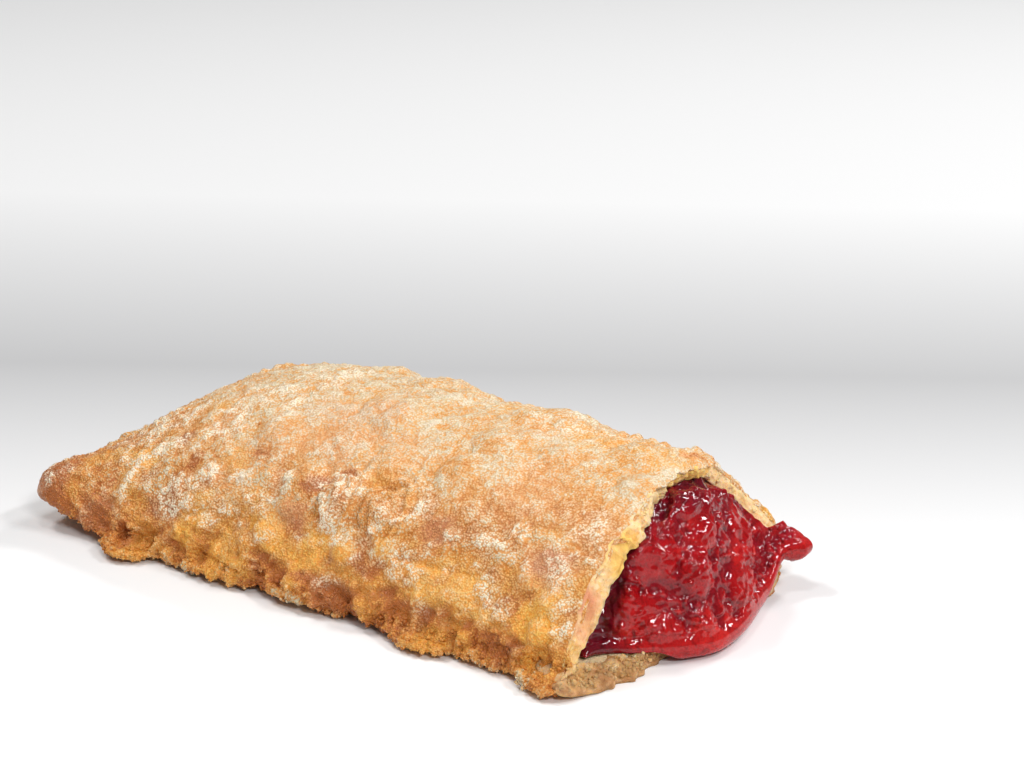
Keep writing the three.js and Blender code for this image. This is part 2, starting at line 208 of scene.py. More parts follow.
def section(over_steps):
    """Places across, from -1 at the front edge to 1 at the back: minus the cosine of an even angle, over
    the top, and back underneath with a quarter as many steps. Also says which places are above."""
    under_steps = over_steps // UNDER_SHARE
    over = -np.cos(np.pi * np.arange(over_steps) / over_steps)
    under = np.cos(np.pi * np.arange(under_steps) / under_steps)
    across = np.concatenate([over, under])[None, :]
    above = (np.arange(over_steps + under_steps) < over_steps)[None, :]
    return across, above


def quarter_round(distance, radius):
    """The height of a quarter circle: the root of 1 - (1 - distance / radius)^2."""
    left = np.maximum(0, 1 - distance / radius)
    return np.sqrt(np.maximum(0, 1 - left * left))


def edge_fullness(across):
    """The root of 1 - |across|^12: nearly 1 all over, falling steeply to 0 at the two edges."""
    return np.sqrt(np.maximum(0, 1 - np.abs(across) ** EDGE_SQUARENESS))


def ridge(x):
    """The pie's height along its length: a steep rise from the sealed end and a slight sag at the mouth."""
    rise = 1 - (1 - np.clip(x / TAPER_LENGTH, 0, 1)) ** 2.5
    return rise * (1 - MOUTH_SAG * smoothstep(x, PIE_LENGTH / 2, PIE_LENGTH))


def crown(across, form):
    """(1 - |leaning place across|^flatness)^fullness: 1 on the crown and 0 at the side edges."""
    flatness, fullness = form
    leaning = across - CROWN_OFFSET * (1 - across * across)
    return np.maximum(0, 1 - np.abs(leaning) ** flatness) ** fullness


def crust_top(x, across):
    """The sealed edge's height plus the crown, as high as the ridge says."""
    edge = SEAM_HEIGHT + (SEALED_EDGE_HEIGHT - SEAM_HEIGHT) * edge_fullness(across)
    return edge + (PIE_HEIGHT - SEALED_EDGE_HEIGHT) * ridge(x) * crown(across, CROWN_FORM)


def crust_underside(x, across):
    """From the seam down to the table at four pads, with a shallow hollow between the pads."""
    towards_ends = smoothstep(np.abs(x - PIE_LENGTH / 2), PAD_PLACE - PAD_SLOPE, PAD_PLACE)
    towards_sides = smoothstep(np.abs(across), 0.2, 0.5)
    hollow = UNDERSIDE_HOLLOW * (1 - towards_ends * towards_sides)
    return lerp(SEAM_HEIGHT, hollow, edge_fullness(across))


print("crown at the middle:", round(float(crust_top(60, 0.1)), 1), "mm")


# %% Pastry relief, fringe and ear
def bump(x, y, place_x, place_y, radius):
    """A round bump in the plan: (1 - (distance / radius)^2)^1.5."""
    distance = np.hypot(x - place_x, y - place_y) / radius
    return np.maximum(0, 1 - distance * distance) ** 1.5


def skin_relief(x, y, z):
    """Broad swellings, crags and bubbles, and the two large blisters, all fading out at the table."""
    swell = SWELL * noise(x / SWELL_SIZE, y / SWELL_SIZE, z / SWELL_SIZE)
    crag = CRAG * noise(x / CRAG_SIZE, y / CRAG_SIZE, z / CRAG_SIZE)
    relief = swell + crag + BLISTER * bubbles(x / BLISTER_CELL, y / BLISTER_CELL, z / BLISTER_CELL)
    for place_x, place_y, radius, height in LARGE_BLISTERS:
        relief = np.maximum(relief, height * bump(x, y, place_x, place_y, radius))
    return relief * smoothstep(z, 0.5, 5)


def fringe(x, z, across):
    """A wavy reach below the seam, with parabolas for the flaps."""
    side = np.sign(across)
    reach = FRINGE_REACH + FRINGE_WAVE * noise(x / FRINGE_WAVELENGTH, side * 5.5, 2.5)
    for place, flap_side, half_length, flap_reach in FLAPS:
        flap = flap_reach * np.maximum(0, 1 - ((x - place) / half_length) ** 2)
        reach = reach + np.where(side == flap_side, flap, 0)
    begun = smoothstep(x, FRINGE_START, FRINGE_START + 5)
    low = 1 - smoothstep(z, FRINGE_HEIGHT * 0.4, FRINGE_HEIGHT * 1.3)
    return reach * begun * low * smoothstep(np.abs(across), 0.8, 0.98)


def weather(x, y, z, across):
    """The plain pocket's point, moved out by the relief, sideways by the wobble and the fringe, and
    towards the ear by a bell curve of its distance to the corner."""
    relief = skin_relief(x, y, z)
    out_y, out_z = y / PIE_WIDTH**2, z / PIE_HEIGHT**2 / 4
    length = np.maximum(np.hypot(out_y, out_z), 1e-12)
    side = np.sign(across)
    wobble = SIDE_WOBBLE * noise(x / SIDE_WOBBLE_LENGTH, side * 3.5, 7.5) * np.abs(across) ** 3
    near_ear = np.exp(-(x * x + (y + PIE_WIDTH / 2) ** 2) / (2 * EAR_SIZE**2))
    moved_x = x + EAR_PULL[0] * near_ear
    moved_y = y + out_y / length * relief + side * (wobble + fringe(x, z, across)) + EAR_PULL[1] * near_ear
    moved_z = z + out_z / length * relief + EAR_PULL[2] * near_ear
    return np.stack(np.broadcast_arrays(moved_x, moved_y, moved_z), -1)


def outer_surface(x, across, above, roundness):
    """A point of the skin. Roundness grows from 0 to 1 over the rounded sealed end."""
    height = np.where(above, crust_top(x, across), crust_underside(x, across))
    half_width = PIE_WIDTH / 2 - CORNER_ROUNDING * (1 - quarter_round(x, CORNER_ROUNDING))
    return weather(x, half_width * across, lerp(SEAM_HEIGHT, height, roundness), across)


print("relief on the first blister:", round(float(skin_relief(*LARGE_BLISTERS[0][:2], 18)), 1), "mm")


# %% The tear and the hollow
def tear_place(across, above):
    """How far from the sealed end the skin is torn: a gentle wave over the top with its dip and point,
    further out at the floor, with jags from noise."""
    level = np.where(above, 3, -3) * edge_fullness(across)
    jag = TEAR_JAG * noise(across * PIE_WIDTH / 2 / TEAR_JAG_SIZE, level, 4.5)
    edge = lerp(FRONT_TEAR, BACK_TEAR, (across + 1) / 2)
    front = FRONT_SKIN * smoothstep(-across, 0, FRONT_WALL) * (1 - np.abs(across) ** 12)
    flat = PIE_LENGTH + TOP_WAVE * np.cos(np.pi * (across - TOP_WAVE_PLACE)) + hill(across, BACK_DIP)
    top = lerp(flat, edge, np.abs(across) ** 10) + front + hill(across, BACK_POINT)
    return np.where(above, top, edge + LIP_LENGTH * (1 - np.abs(across) ** 9)) + jag


def crumb_step(across, above):
    """How much further out than the skin the crumb is torn: most at the front wall, and less than
    nothing on the crest and the lip."""
    away = 1 - np.abs(across) ** 12
    front = CRUMB_STEP * smoothstep(-across, 0, FRONT_WALL)
    return np.where(above, front + hill(across, CREST_STEP), LIP_STEP) * away


def cavity_ceiling(x, across):
    """The hollow's height over the table: the crown's own form, a wall's thickness lower."""
    crest = SEALED_EDGE_HEIGHT + (PIE_HEIGHT - SEALED_EDGE_HEIGHT) * ridge(x) - TOP_WALL
    return CAVITY_SEAM + (crest - CAVITY_SEAM) * crown(across, CAVITY_FORM)


def cavity_surface(x, across, above, clearance=0.0, side_clearance=0.0):
    """A point of the hollow, or of a body that is smaller by the two clearances."""
    roundness = quarter_round(x - CAVITY_START - side_clearance, CAVITY_ROUNDING)
    floor = lerp(CAVITY_SEAM, FLOOR_WALL, edge_fullness(across))
    height = np.where(above, cavity_ceiling(x, across), floor)
    inset = clearance * edge_fullness(across) * np.where(above, -1, 1)
    half_width = CAVITY_WIDTH / 2 - side_clearance - CAVITY_NARROWING * (1 - roundness)
    z = lerp(CAVITY_SEAM, height + inset, roundness)
    return np.stack(np.broadcast_arrays(x, half_width * across, z), -1)


print("tear on the crown:", round(float(tear_place(0.1, True)), 1), "mm from the sealed end")


# %% [markdown]
# ## Meshes from grids
# A grid of points becomes a mesh of four-sided faces. Its columns close round the section. Where a row
# is folded flat, its lower half lies on its upper half, so the two halves share their points and thin
# triangles close what is left.


# %% Grid helpers
def outward_normals(points, closed_along=False):
    """The cross product of the differences along and around, made one long."""
    if closed_along:
        along = np.roll(points, -1, 0) - np.roll(points, 1, 0)
    else:
        along = np.gradient(points, axis=0)
    around = np.roll(points, -1, 1) - np.roll(points, 1, 1)
    normal = np.cross(along, around)
    return normal / np.maximum(np.linalg.norm(normal, axis=2, keepdims=True), 1e-9)


def grid_faces(rows, columns, closed_along=False):
    """The corners of each face: point, next along, next around one row on, and next around. Seen from
    outside they run anticlockwise, so each face points outwards."""
    row = np.arange(rows if closed_along else rows - 1)[:, None]
    column = np.arange(columns)[None, :]
    next_row, next_column = (row + 1) % rows, (column + 1) % columns
    corners = [
        row * columns + column,
        next_row * columns + column,
        next_row * columns + next_column,
        row * columns + next_column,
    ]
    return np.stack(np.broadcast_arrays(*corners), -1).reshape(-1, 4)


def fold_faces(quads, rows, columns):
    """The faces of a grid whose first and last rows are folded flat: each lower point of those rows
    becomes the upper point that it lies on, and a fan of triangles closes what is left."""
    under_steps = columns // (UNDER_SHARE + 1)
    over_steps = columns - under_steps
    step = np.arange(under_steps)
    names = np.arange(rows * columns)
    triangles = []
    for row, turned in ((0, False), (rows - 1, True)):
        start = row * columns
        names[start + over_steps + step[1:]] = start + over_steps - UNDER_SHARE * step[1:]
        first = start + UNDER_SHARE * step
        for spoke in range(1, UNDER_SHARE):
            fan = np.stack([first, first + spoke + 1, first + spoke], -1)
            triangles.append(fan if turned else fan[:, ::-1])
    return names[quads], np.concatenate(triangles)


def make_piece(name, points, quads, triangles, material, looks):
    """One closed mesh, in metres, smooth-shaded, with a value at each point for each named look."""
    used = np.unique(np.concatenate([quads.ravel(), triangles.ravel()]))
    renamed = np.zeros(len(points), int)
    renamed[used] = np.arange(len(used))
    corners = np.concatenate([renamed[quads].ravel(), renamed[triangles].ravel()])
    sizes = np.concatenate([np.full(len(quads), 4), np.full(len(triangles), 3)])
    mesh = bpy.data.meshes.new(name)
    mesh.vertices.add(len(used))
    mesh.vertices.foreach_set("co", to_metres(points[used]).ravel())
    mesh.loops.add(len(corners))
    mesh.loops.foreach_set("vertex_index", corners)
    mesh.polygons.add(len(sizes))
    mesh.polygons.foreach_set("loop_start", np.cumsum(sizes) - sizes)
    mesh.polygons.foreach_set("use_smooth", np.ones(len(sizes), bool))
    mesh.update(calc_edges=True)
    for look, values in looks.items():
        attribute = mesh.attributes.new(look, "FLOAT", "POINT")
        attribute.data.foreach_set("value", values.ravel()[used].astype(np.float32))
    mesh.materials.append(material)
    piece = bpy.data.objects.new(name, mesh)
    bpy.context.scene.collection.objects.link(piece)
    print(name, "has", len(used), "points and", len(quads) * 2 + len(triangles), "triangles")
    return piece


NO_QUADS, NO_TRIANGLES = np.zeros((0, 4), int), np.zeros((0, 3), int)
print("a grid of 3 by 4 points has", len(grid_faces(3, 4)), "faces")


# %% [markdown]
# ## From the pie's own frame to the solids' frame
# The filling's tip and its front side are two places that both frames know, so their difference is the
# shift between the frames.

# %% Shift
TONGUE_REACH = 14  # of the filling past the front of the tear
SIDE_GAP = 1  # between the filling's solid and the hollow's side edges
filling_low, filling_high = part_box("cherry_filling")
SHIFT = np.array([
    filling_high.x * 1000 - (FRONT_TEAR + TONGUE_REACH),
    filling_low.y * 1000 + (CAVITY_WIDTH / 2 - SIDE_GAP),
    0,
])


def to_metres(points):
    """Millimetres in the pie's frame, shifted into the solids' frame and divided by 1000."""
    return (points + SHIFT) / 1000


print("shift:", SHIFT.round(2), "mm")

# %% [markdown]
# ## Where the skin is brown, golden, rosy or floury
# Frying browns what lies deep in the fat: the low sides, the sealed edges and the ear. The crown stays
# pale. On top of that each pie has its own patches, so the clearest of them are placed one by one, and
# noise makes their edges uneven.

# %% Patches
# Each patch: place along, across and up, radius, strength.
AMBER_PATCHES = [
    (57, -30, 11.5, 4, 0.9), (65.6, -30.5, 10, 4.5, 1.0), (91, -31.5, 11, 6, 1.0),
    (100, -30.5, 11, 5, 1.0), (115, -31, 10, 6, 0.9), (28, -36, 2, 7, 0.45), (48, -34, 5, 6, 0.7),
    (38, -31.5, 11, 4, 0.7), (29, -12, 24, 4, 0.6), (82, 10, 29, 6, 0.25), (102, 6, 29, 8, 0.35),
    (117, 4, 28, 6, 0.4), (74, -20, 22, 3.4, 0.5), (50, -29, 15, 5, 0.6), (108, -28, 15, 5, 0.4),
    (43, -24, 19, 4, 0.5), (22, -24, 15, 4, 0.5), (96, -34, 3, 6, 0.6),
]
BROWN_PATCHES = [
    (61.5, -24.5, 20.5, 3.4, 0.7), (60, -28, 15, 3.2, 0.6), (28, -20, 20, 3.0, 0.42),
    (33.5, -24.5, 18, 2.6, 0.4), (50.5, -29.5, 14, 4.4, 0.4), (88.5, -25, 18, 4, 0.35),
    (112, -25, 17.5, 4.5, 0.4), (76, -31.5, 8, 6, 0.35), (96, -33, 5, 7, 0.4), (74, -33, 6, 8, 0.4),
    (102, -31, 10, 2.8, 0.45), (110, -33, 6, 4.5, 0.55), (17, -33.5, 5, 9, 0.3), (6, -34, 7, 7, 0.42),
    (118, 10, 28.5, 3, 0.4), (38, -33, 8, 6, 0.25), (52, -29.5, 13.5, 3, 0.35), (14, -25, 12, 6, 0.25),
    (84, -33, 7, 4, 0.4), (74, -20, 22, 3.4, 0.3), (112, -16, 24, 7, 0.15), (96, -20, 22, 7, 0.15),
    (46, -21, 21.5, 2.4, 0.35), (67, -21, 22, 2.4, 0.35), (10, -30, 9, 5, 0.3),
]
ROSE_PATCHES = [
    (60, -12, 26.5, 14, 0.6), (47, -20, 23, 8, 0.5), (60, -29, 15, 4.5, 0.9), (88.5, -25, 18, 5, 0.7),
    (112, -25, 17.5, 6, 0.9), (44, -25, 18, 6, 0.5), (100, -14, 26, 8, 0.35), (17, -33, 6, 8, 0.4),
    (34, -16, 23, 5, 0.3), (74, -14, 26, 7, 0.3),
]
FLOUR_PATCHES = [
    (24, -25, 16, 4.4, 0.8), (34, -30.5, 13, 4, 0.8), (37, -26, 17.5, 3.5, 0.7),
    (53, -25.5, 18.8, 3.8, 0.8), (67.5, -25.5, 20, 5, 1.0), (77.2, -24.7, 19.3, 4.2, 1.0),
    (84, -22.8, 20.5, 3.6, 0.7), (102, -24, 18.6, 3.6, 0.4), (101, -28, 14.5, 3.2, 0.5),
    (34, -15.5, 23.5, 6, 0.6), (114, -23.6, 19, 6, 0.15), (78, -30, 14, 4, 0.6), (118, -18, 23, 7, 0.3),
    (69, -28, 15, 4, 0.7), (28, -22, 18, 4, 0.6), (20, -14, 18, 7, 0.6), (44, 2, 27, 8, 0.4),
    (46, -27, 16, 3.5, 0.7), (76, -29, 14, 4, 0.7), (40, -8, 26, 7, 0.4), (95, 8, 29, 9, 0.15),
    (99, -31, 12, 5, 0.5), (118, -31, 11, 5, 0.25), (40, -29, 13, 5, 0.8), (84, -30, 13, 5, 0.5),
]
print("patches:", len(AMBER_PATCHES + BROWN_PATCHES + ROSE_PATCHES + FLOUR_PATCHES))


def patchwork(points, patches, unevenness=0.35):
    """The strongest patch at each point: 1 in its middle, 0 past its radius, with uneven edges."""
    x, y, z = np.moveaxis(points, -1, 0)
    ragged = unevenness * fractal(x / 3, y / 3, z / 3, 3)
    strongest = np.zeros(x.shape)
    for place_x, place_y, place_z, radius, strength in patches:
        distance = np.sqrt((x - place_x) ** 2 + (y - place_y) ** 2 + (z - place_z) ** 2) / radius
        strongest = np.maximum(strongest, strength * (1 - smoothstep(distance + ragged, 0.35, 1.1)))
    return strongest


def puffs(points):
    """Round puffs low on the sides, and how strongly they count at each height."""
    x, y, z = np.moveaxis(points, -1, 0)
    zone = smoothstep(z, 2.5, 6) * (1 - smoothstep(z, 13, 19)) * smoothstep(x, 16, 34)
    return bubbles(x / 6.5, y / 6.5, z / 6.5 + 11), zone


def low_ridges(x, y, z):
    """Up to 1 on the winding ridges of the low crags, less between them."""
    return 1 - np.abs(fractal(x / 4.2, y / 4.2, z / 4.2, 2))


def skin_tone_and_shade(points, cloud, low, slope):
    """Frying colour from many sides: the slope, the low sides, the sealed end and the patches. Painted
    shade is added on the shoulder and in the hollows between puffs and ridges."""
    x, y, z = np.moveaxis(points, -1, 0)
    fine = fractal(x / 2.2, y / 2.2, z / 2.2, 3)
    end = bell(x, 13) * smoothstep(-y, 6, 28)
    # painted shade: the shoulder is made browner where the crown turns down to the front slope
    shoulder = smoothstep(z, 16, 20) * (1 - smoothstep(z, 25, 28.5))
    browning = 0.06 + 0.13 * shoulder + 0.12 * slope + 0.4 * low + 0.5 * end * (1 - low)
    browning = browning + 0.08 * smoothstep(x, 40, 90) + (0.07 + 0.06 * slope) * (cloud + fine)
    browning = browning + patchwork(points, BROWN_PATCHES) * (1 - 0.4 * low)
    # painted shade: the hollows between the puffs are made browner
    puff, zone = puffs(points)
    browning = browning + 0.45 * zone * (0.4 - puff)
    # painted shade: the hollows between the low ridges are made browner
    hollows = 0.72 - low_ridges(x, y, z) + 0.5 * (0.7 - low_ridges(2 * x, 2 * y, 2 * z))
    return browning + 0.9 * low * hollows * smoothstep(x, 5, 20)


def skin_amber(points, slope):
    """Golden butter: in patches, in a band along the side, and on the puffs."""
    x, y, z = np.moveaxis(points, -1, 0)
    amber = patchwork(points, AMBER_PATCHES, 0.5)
    amber = amber + 0.3 * smoothstep(noise(x / 5, y / 5, z / 5 + 9), 0.1, 0.7) * (0.4 + slope)
    band = smoothstep(z, 6, 9) * (1 - smoothstep(z, 13, 18)) * smoothstep(x, 45, 60)
    amber = amber + 0.6 * band * smoothstep(fractal(x / 6, y / 6, z / 4 + 21, 3), -0.4, 0.4)
    puff, zone = puffs(points)
    return np.maximum(amber, 0.9 * zone * smoothstep(puff, 0.4, 0.8))


def skin_flour(points, low, slope, amber):
    """Flour: a thin dust, patches, and speckles on the slope. It is washed off low down and on butter."""
    x, y, z = np.moveaxis(points, -1, 0)
    flour = patchwork(points, FLOUR_PATCHES, 0.6)
    speckled = smoothstep(fractal(x / 3.5, y / 3.5, z / 3.5 + 3, 3), -0.1, 0.6)
    flour = 0.1 + 0.16 * (1 - slope) + 1.2 * flour + 0.55 * speckled * (0.15 + 0.85 * slope)
    return flour * (1 - 0.9 * low) * (1 - 0.35 * amber)


def skin_looks(points):
    """The skin's looks from 0 to 1. "Low" and "slope" grow downwards, with cloudy edges."""
    x, y, z = np.moveaxis(points, -1, 0)
    cloud = fractal(x / 9, y / 9, z / 9, 4)
    low = 1 - smoothstep(z + 2.0 * cloud, 4, 13)
    slope = 1 - smoothstep(z + 2.0 * cloud, 14, 25)
    rose = patchwork(points, ROSE_PATCHES) + 0.25 * smoothstep(noise(x / 8, y / 8 + 4, z / 8), 0.2, 0.8)
    amber = skin_amber(points, slope)
    looks = {
        "browning": skin_tone_and_shade(points, cloud, low, slope),
        "amber": amber,
        "rose": rose * (1 - 0.8 * low),
        "flour": skin_flour(points, low, slope, amber),
        "coarse": (0.55 + 0.45 * slope) * (1 - 0.25 * low),
    }
    return {name: np.clip(values, 0, 1) for name, values in looks.items()}


# %% [markdown]
# ## The skin's fine surface
# The solids already have the swellings and the largest bubbles. The finished skin adds what is smaller:
# clusters of little bubbles, crumbly crags along the low edges, rings round two blisters, a crease, and
# crumbs behind the crown. Each is a height that moves the surface out along its own normal. Teeth along
# the fringe move it sideways.

# %% Fine relief of the skin
CREASE, CREASE_WIDTH, CREASE_DEPTH = ((84, -29.5, 13.8), (94.5, -28.5, 13.8)), 0.9, 1.1
RINGED_BLISTERS = [(67.5, -25.5, 5.2), (77.2, -24.7, 5.4)]  # place along, place across, radius
RING_SPACING, RING_HEIGHT = 1.7, 0.5


def near_line(points, start, end, width):
    """1 on the line between two points, falling as a bell curve of the distance to it."""
    start, end = np.array(start, float), np.array(end, float)
    run = end - start
    part = np.clip((points - start) @ run / (run @ run), 0, 1)
    nearest = start + part[..., None] * run
    return bell(np.linalg.norm(points - nearest, axis=-1), width)


def blister_rings(x, y):
    """Rings round the middle of each blister: a low dome and a sine of the uneven distance, which fade
    together at its edge."""
    rings = np.zeros(x.shape)
    for place_x, place_y, radius in RINGED_BLISTERS:
        distance = np.hypot(x - place_x, (y - place_y) * 0.7)
        wavy = distance + 0.8 * noise(x / 2, y / 2, 1.5)
        fade = np.exp(-((distance / radius) ** 4))
        rings = rings + fade * (0.7 + np.sin(wavy * 2 * np.pi / RING_SPACING))
    return rings


def roughness_of_skin(points, looks):
    """Where the skin is craggy: little on the crown, more on the slopes, most in patches and on flour."""
    x, y, z = np.moveaxis(points, -1, 0)
    slope = 1 - smoothstep(z, 17, 25)
    patchy = smoothstep(noise(x / 8, y / 8, z / 8 + 2), -0.3, 0.5)
    return np.clip(0.3 + 0.45 * slope + 0.35 * patchy * slope + 0.35 * looks["flour"], 0, 1.2)


def fine_relief(points, looks):
    """Clumps, small bubbles and grain in millimetres. The second result, "lift", says from 0 to 1 how
    high a point stands among its near neighbours, so that flour can lie on the high ones."""
    x, y, z = np.moveaxis(points, -1, 0)
    rough = roughness_of_skin(points, looks)
    clumps = fractal(x / 2.6, y / 2.6, z / 2.6, 2)
    bits = bubbles(x / 1.7, y / 1.7, z / 1.7)
    grain = fractal(x / 1.05, y / 1.05, z / 1.05, 2)
    near = rough * (0.36 * clumps + 0.5 * (bits - 0.35) + 0.1 * grain) + 0.11 * grain
    lift = np.clip(0.5 + (0.3 + 0.6 * rough) * near / (0.12 + 0.35 * rough), 0, 1)
    small = 0.5 * rough * bubbles(x / 3.3, y / 3.3, z / 3.3)
    crags = low_ridges(x, y, z) + 0.5 * low_ridges(2 * x, 2 * y, 2 * z) - 1.05
    lobes = (0.5 + smoothstep(x, 10, 30)) * (1 - smoothstep(z, 6, 12)) * crags
    puff, zone = puffs(points)
    lobes = lobes + 1.6 * zone * (puff - 0.35)
    rings = RING_HEIGHT * blister_rings(x, y) * smoothstep(z, 12, 16)
    creased = CREASE_DEPTH * near_line(points, *CREASE, CREASE_WIDTH)
    return near + small + lobes + rings - creased, lift


def crest_crumbs(points):
    """Small crumbs on the back of the crown: bubbles a little higher in some places along it."""
    x, y, z = np.moveaxis(points, -1, 0)
    place = smoothstep(y, 0, 6) * (0.35 + 0.65 * smoothstep(noise(x / 8, y / 8, 6.5), 0.0, 0.5))
    return 1.1 * place * smoothstep(z, 8, 14) * bubbles(x / 2.4, y / 2.4, z / 2.4)


def teeth(x, z, across):
    """How far the fringe's teeth stand out: two sizes of noise, only low down at the side edges."""
    side = np.sign(across)
    jags = 0.7 * noise(x / 2.1, side * 2.5, 3.5) + 0.35 * noise(x / 0.9, side * 4.5, z)
    low = 1 - smoothstep(z, 2.2, 4.5)
    return jags * low * smoothstep(np.abs(across), 0.9, 0.99) * smoothstep(x, 12, 18)


# %% [markdown]
# ## The skin
# The skin is one closed mesh: over the outside to the tear, round a thin torn edge, and back inside along
# the hollow. Its rows stand evenly along the pie, about 0.4 mm apart, which is fine enough for the
# bubbles. What is finer comes from the material.

# %% Skin
SKIN_OVER_STEPS = 256
NOSE_ROWS, OUTER_ROWS, EDGE_ROWS, HOLLOW_ROWS = 8, 272, 6, 14
SKIN_THICKNESS, EDGE_BULGE = 0.8, 0.35  # of the torn edge
SKIN_BEND, SKIN_BEND_LENGTH = 1.1, 2.2  # the torn edge bends in over the crumb
EDGE_RECESS = 1.6  # the crumb's bed lies this far behind the torn edge


def skin_tear(across, above):
    """The solid's tear with finer jags, so that the skin ends in ragged flakes."""
    side = np.where(above, 1, -1) * edge_fullness(across)
    place = across * PIE_WIDTH / 2
    flakes = 0.9 * noise(place / 2.4, side * 2, 8.5) + 0.5 * noise(place / 0.9, side * 2, 1.5)
    return tear_place(across, above) + flakes


def skin_outside(across, above):
    """Rows from the sealed end to the tear, with all the relief, and the looks at each point."""
    angle = np.linspace(0, np.pi / 2, NOSE_ROWS, endpoint=False)[:, None]
    nose = outer_surface(END_ROUNDING * (1 - np.cos(angle)), across, above, np.sin(angle))
    part = np.linspace(0, 1, OUTER_ROWS)[:, None]
    body = outer_surface(lerp(END_ROUNDING, skin_tear(across, above), part), across, above, 1)
    plain = np.concatenate([nose, body])
    looks = skin_looks(plain)
    begun = smoothstep(plain[..., 0], 0.3, 4) * smoothstep(plain[..., 2], 0.2, 1.5)
    relief, looks["lift"] = fine_relief(plain, looks)
    left = np.clip(1 - (skin_tear(across, above) - plain[..., 0]) / SKIN_BEND_LENGTH, 0, 1)
    bend = SKIN_BEND * (1 - np.sqrt(1 - left**2)) * np.where(above, 1, 0.3) * edge_fullness(across)
    height = (relief + crest_crumbs(plain)) * begun - bend
    points = plain + outward_normals(plain) * height[..., None]
    points[..., 1] += np.sign(across) * teeth(plain[..., 0], plain[..., 2], across)
    points[..., 2] = np.maximum(points[..., 2], np.minimum(plain[..., 2], 0.05))
    return points, looks


def skin_inside(edge, across, above):
    """Rows from the torn edge inwards: a rounded edge, a bed for the crumb, and the hollow."""
    tear = skin_tear(across, above)
    mouth = tear + crumb_step(across, above) - EDGE_RECESS
    inner = cavity_surface(mouth, across, above)[0]
    inward = inner - edge
    inward = inward / np.maximum(np.linalg.norm(inward, axis=1, keepdims=True), 1e-6)
    rows = []
    for row in range(1, EDGE_ROWS + 1):
        turn = np.pi * row / EDGE_ROWS
        depth = SKIN_THICKNESS / 2 * (1 - np.cos(turn))
        rows.append(edge + inward * depth + np.array([EDGE_BULGE * np.sin(turn), 0, 0]))
    part = np.linspace(1, 0, HOLLOW_ROWS)[:, None]
    hollow = cavity_surface(lerp(CAVITY_START, mouth, part), across, above)
    return np.concatenate([np.stack(rows), hollow])


def skin_surface():
    """The whole grid of the skin, and its looks, with "crumb" at 1 inside the hollow."""
    across, above = section(SKIN_OVER_STEPS)
    outside, looks = skin_outside(across, above)
    inside = skin_inside(outside[-1], across, above)
    points = np.concatenate([outside, inside])
    inner_rows = len(inside)
    looks = {name: np.concatenate([v, np.repeat(v[-1:], inner_rows, 0)]) for name, v in looks.items()}
    crumb = np.zeros(points.shape[:2])
    crumb[len(outside) + EDGE_ROWS // 2:] = 1
    looks["crumb"] = crumb
    return points, looks


skin_points, skin_values = skin_surface()
print("the skin's grid:", skin_points.shape[:2])


# %% [markdown]
# ## The torn crumb
# Under the skin the pastry is pale and spongy. It is a ring of its own that runs round the mouth: a torn
# face between the skin and the filling, a short way in along the hollow, and back inside the wall, where
# nobody sees it. Pores are small bubbles pressed into it.

# %% Torn crumb
CRUMB_OVER_STEPS = 640
FACE_STEPS, WALL_STEPS, BACK_STEPS = 56, 20, 8
CRUMB_DEPTH = 6  # how far the ring reaches in
UNDER_SKIN, OVER_LIP = 0.2, -0.02  # it starts this part of the wall below the skin, and over the lip
BEHIND_SKIN = 0.3  # and this far behind the skin's edge
LIP_REACH, LIP_SHORTER_AT_BACK = 0.6, 2.5  # on the lip it reaches past the skin's edge, but not far back
OVER_CAVITY, INTO_WALL = 0.15, -0.6  # clearances of the ring's inside: inside the hollow, in the wall
# Patches of the torn face: place along, across and up, radius, strength.
YELLOW_CRUMB = [
    (121.8, -15.8, 21.7, 3.5, 0.8), (121.8, -18.5, 18.5, 3.8, 0.8), (121, -30, 7, 4, 0.4),
    (119, 8, 26, 5, 0.8), (119.5, 2, 27, 5, 0.6),
]
ROSY_CRUMB = [(121, -26.5, 14.3, 3.4, 1.0), (122, -29, 10, 3, 0.6)]


def crumb_ring():
    """The ring's loop: over the face, in along the hollow, through the wall and out under the skin."""
    across, above = section(CRUMB_OVER_STEPS)
    tear = skin_tear(across, above)
    step = crumb_step(across, above)
    lip_reach = LIP_REACH - LIP_SHORTER_AT_BACK * smoothstep(across, 0.3, 0.7)
    skin = outer_surface(tear + np.where(above, -BEHIND_SKIN, lip_reach), across, above, 1)[0]
    inside = cavity_surface(tear + step, across, above, OVER_CAVITY)[0]
    start = lerp(skin, inside, np.where(above, UNDER_SKIN, OVER_LIP)[0][:, None])
    deep_skin = outer_surface(tear - CRUMB_DEPTH, across, above, 1)[0]
    deep_inside = cavity_surface(tear + step - CRUMB_DEPTH, across, above, INTO_WALL)[0]
    deep_start = lerp(deep_skin, deep_inside, 0.45)
    part = np.linspace(0, 1, FACE_STEPS, endpoint=False)[:, None, None]
    face = lerp(start, inside, part)
    face[..., 0] += (4 * part * (1 - part))[..., 0] * RIM_BULGE
    thick = lerp(start[..., 2], inside[..., 2], part[..., 0] ** 0.4)
    face[..., 2] = np.where(above, face[..., 2], thick)
    part = np.linspace(0, 1, WALL_STEPS, endpoint=False)[:, None]
    clearance = lerp(OVER_CAVITY, INTO_WALL, part)
    wall = cavity_surface(lerp(tear + step, tear + step - CRUMB_DEPTH, part), across, above, clearance)
    part = np.linspace(0, 1, BACK_STEPS, endpoint=False)[:, None, None]
    back = np.concatenate([lerp(deep_inside, deep_start, part), lerp(deep_start, start, part)])
    return np.concatenate([face, wall, back])


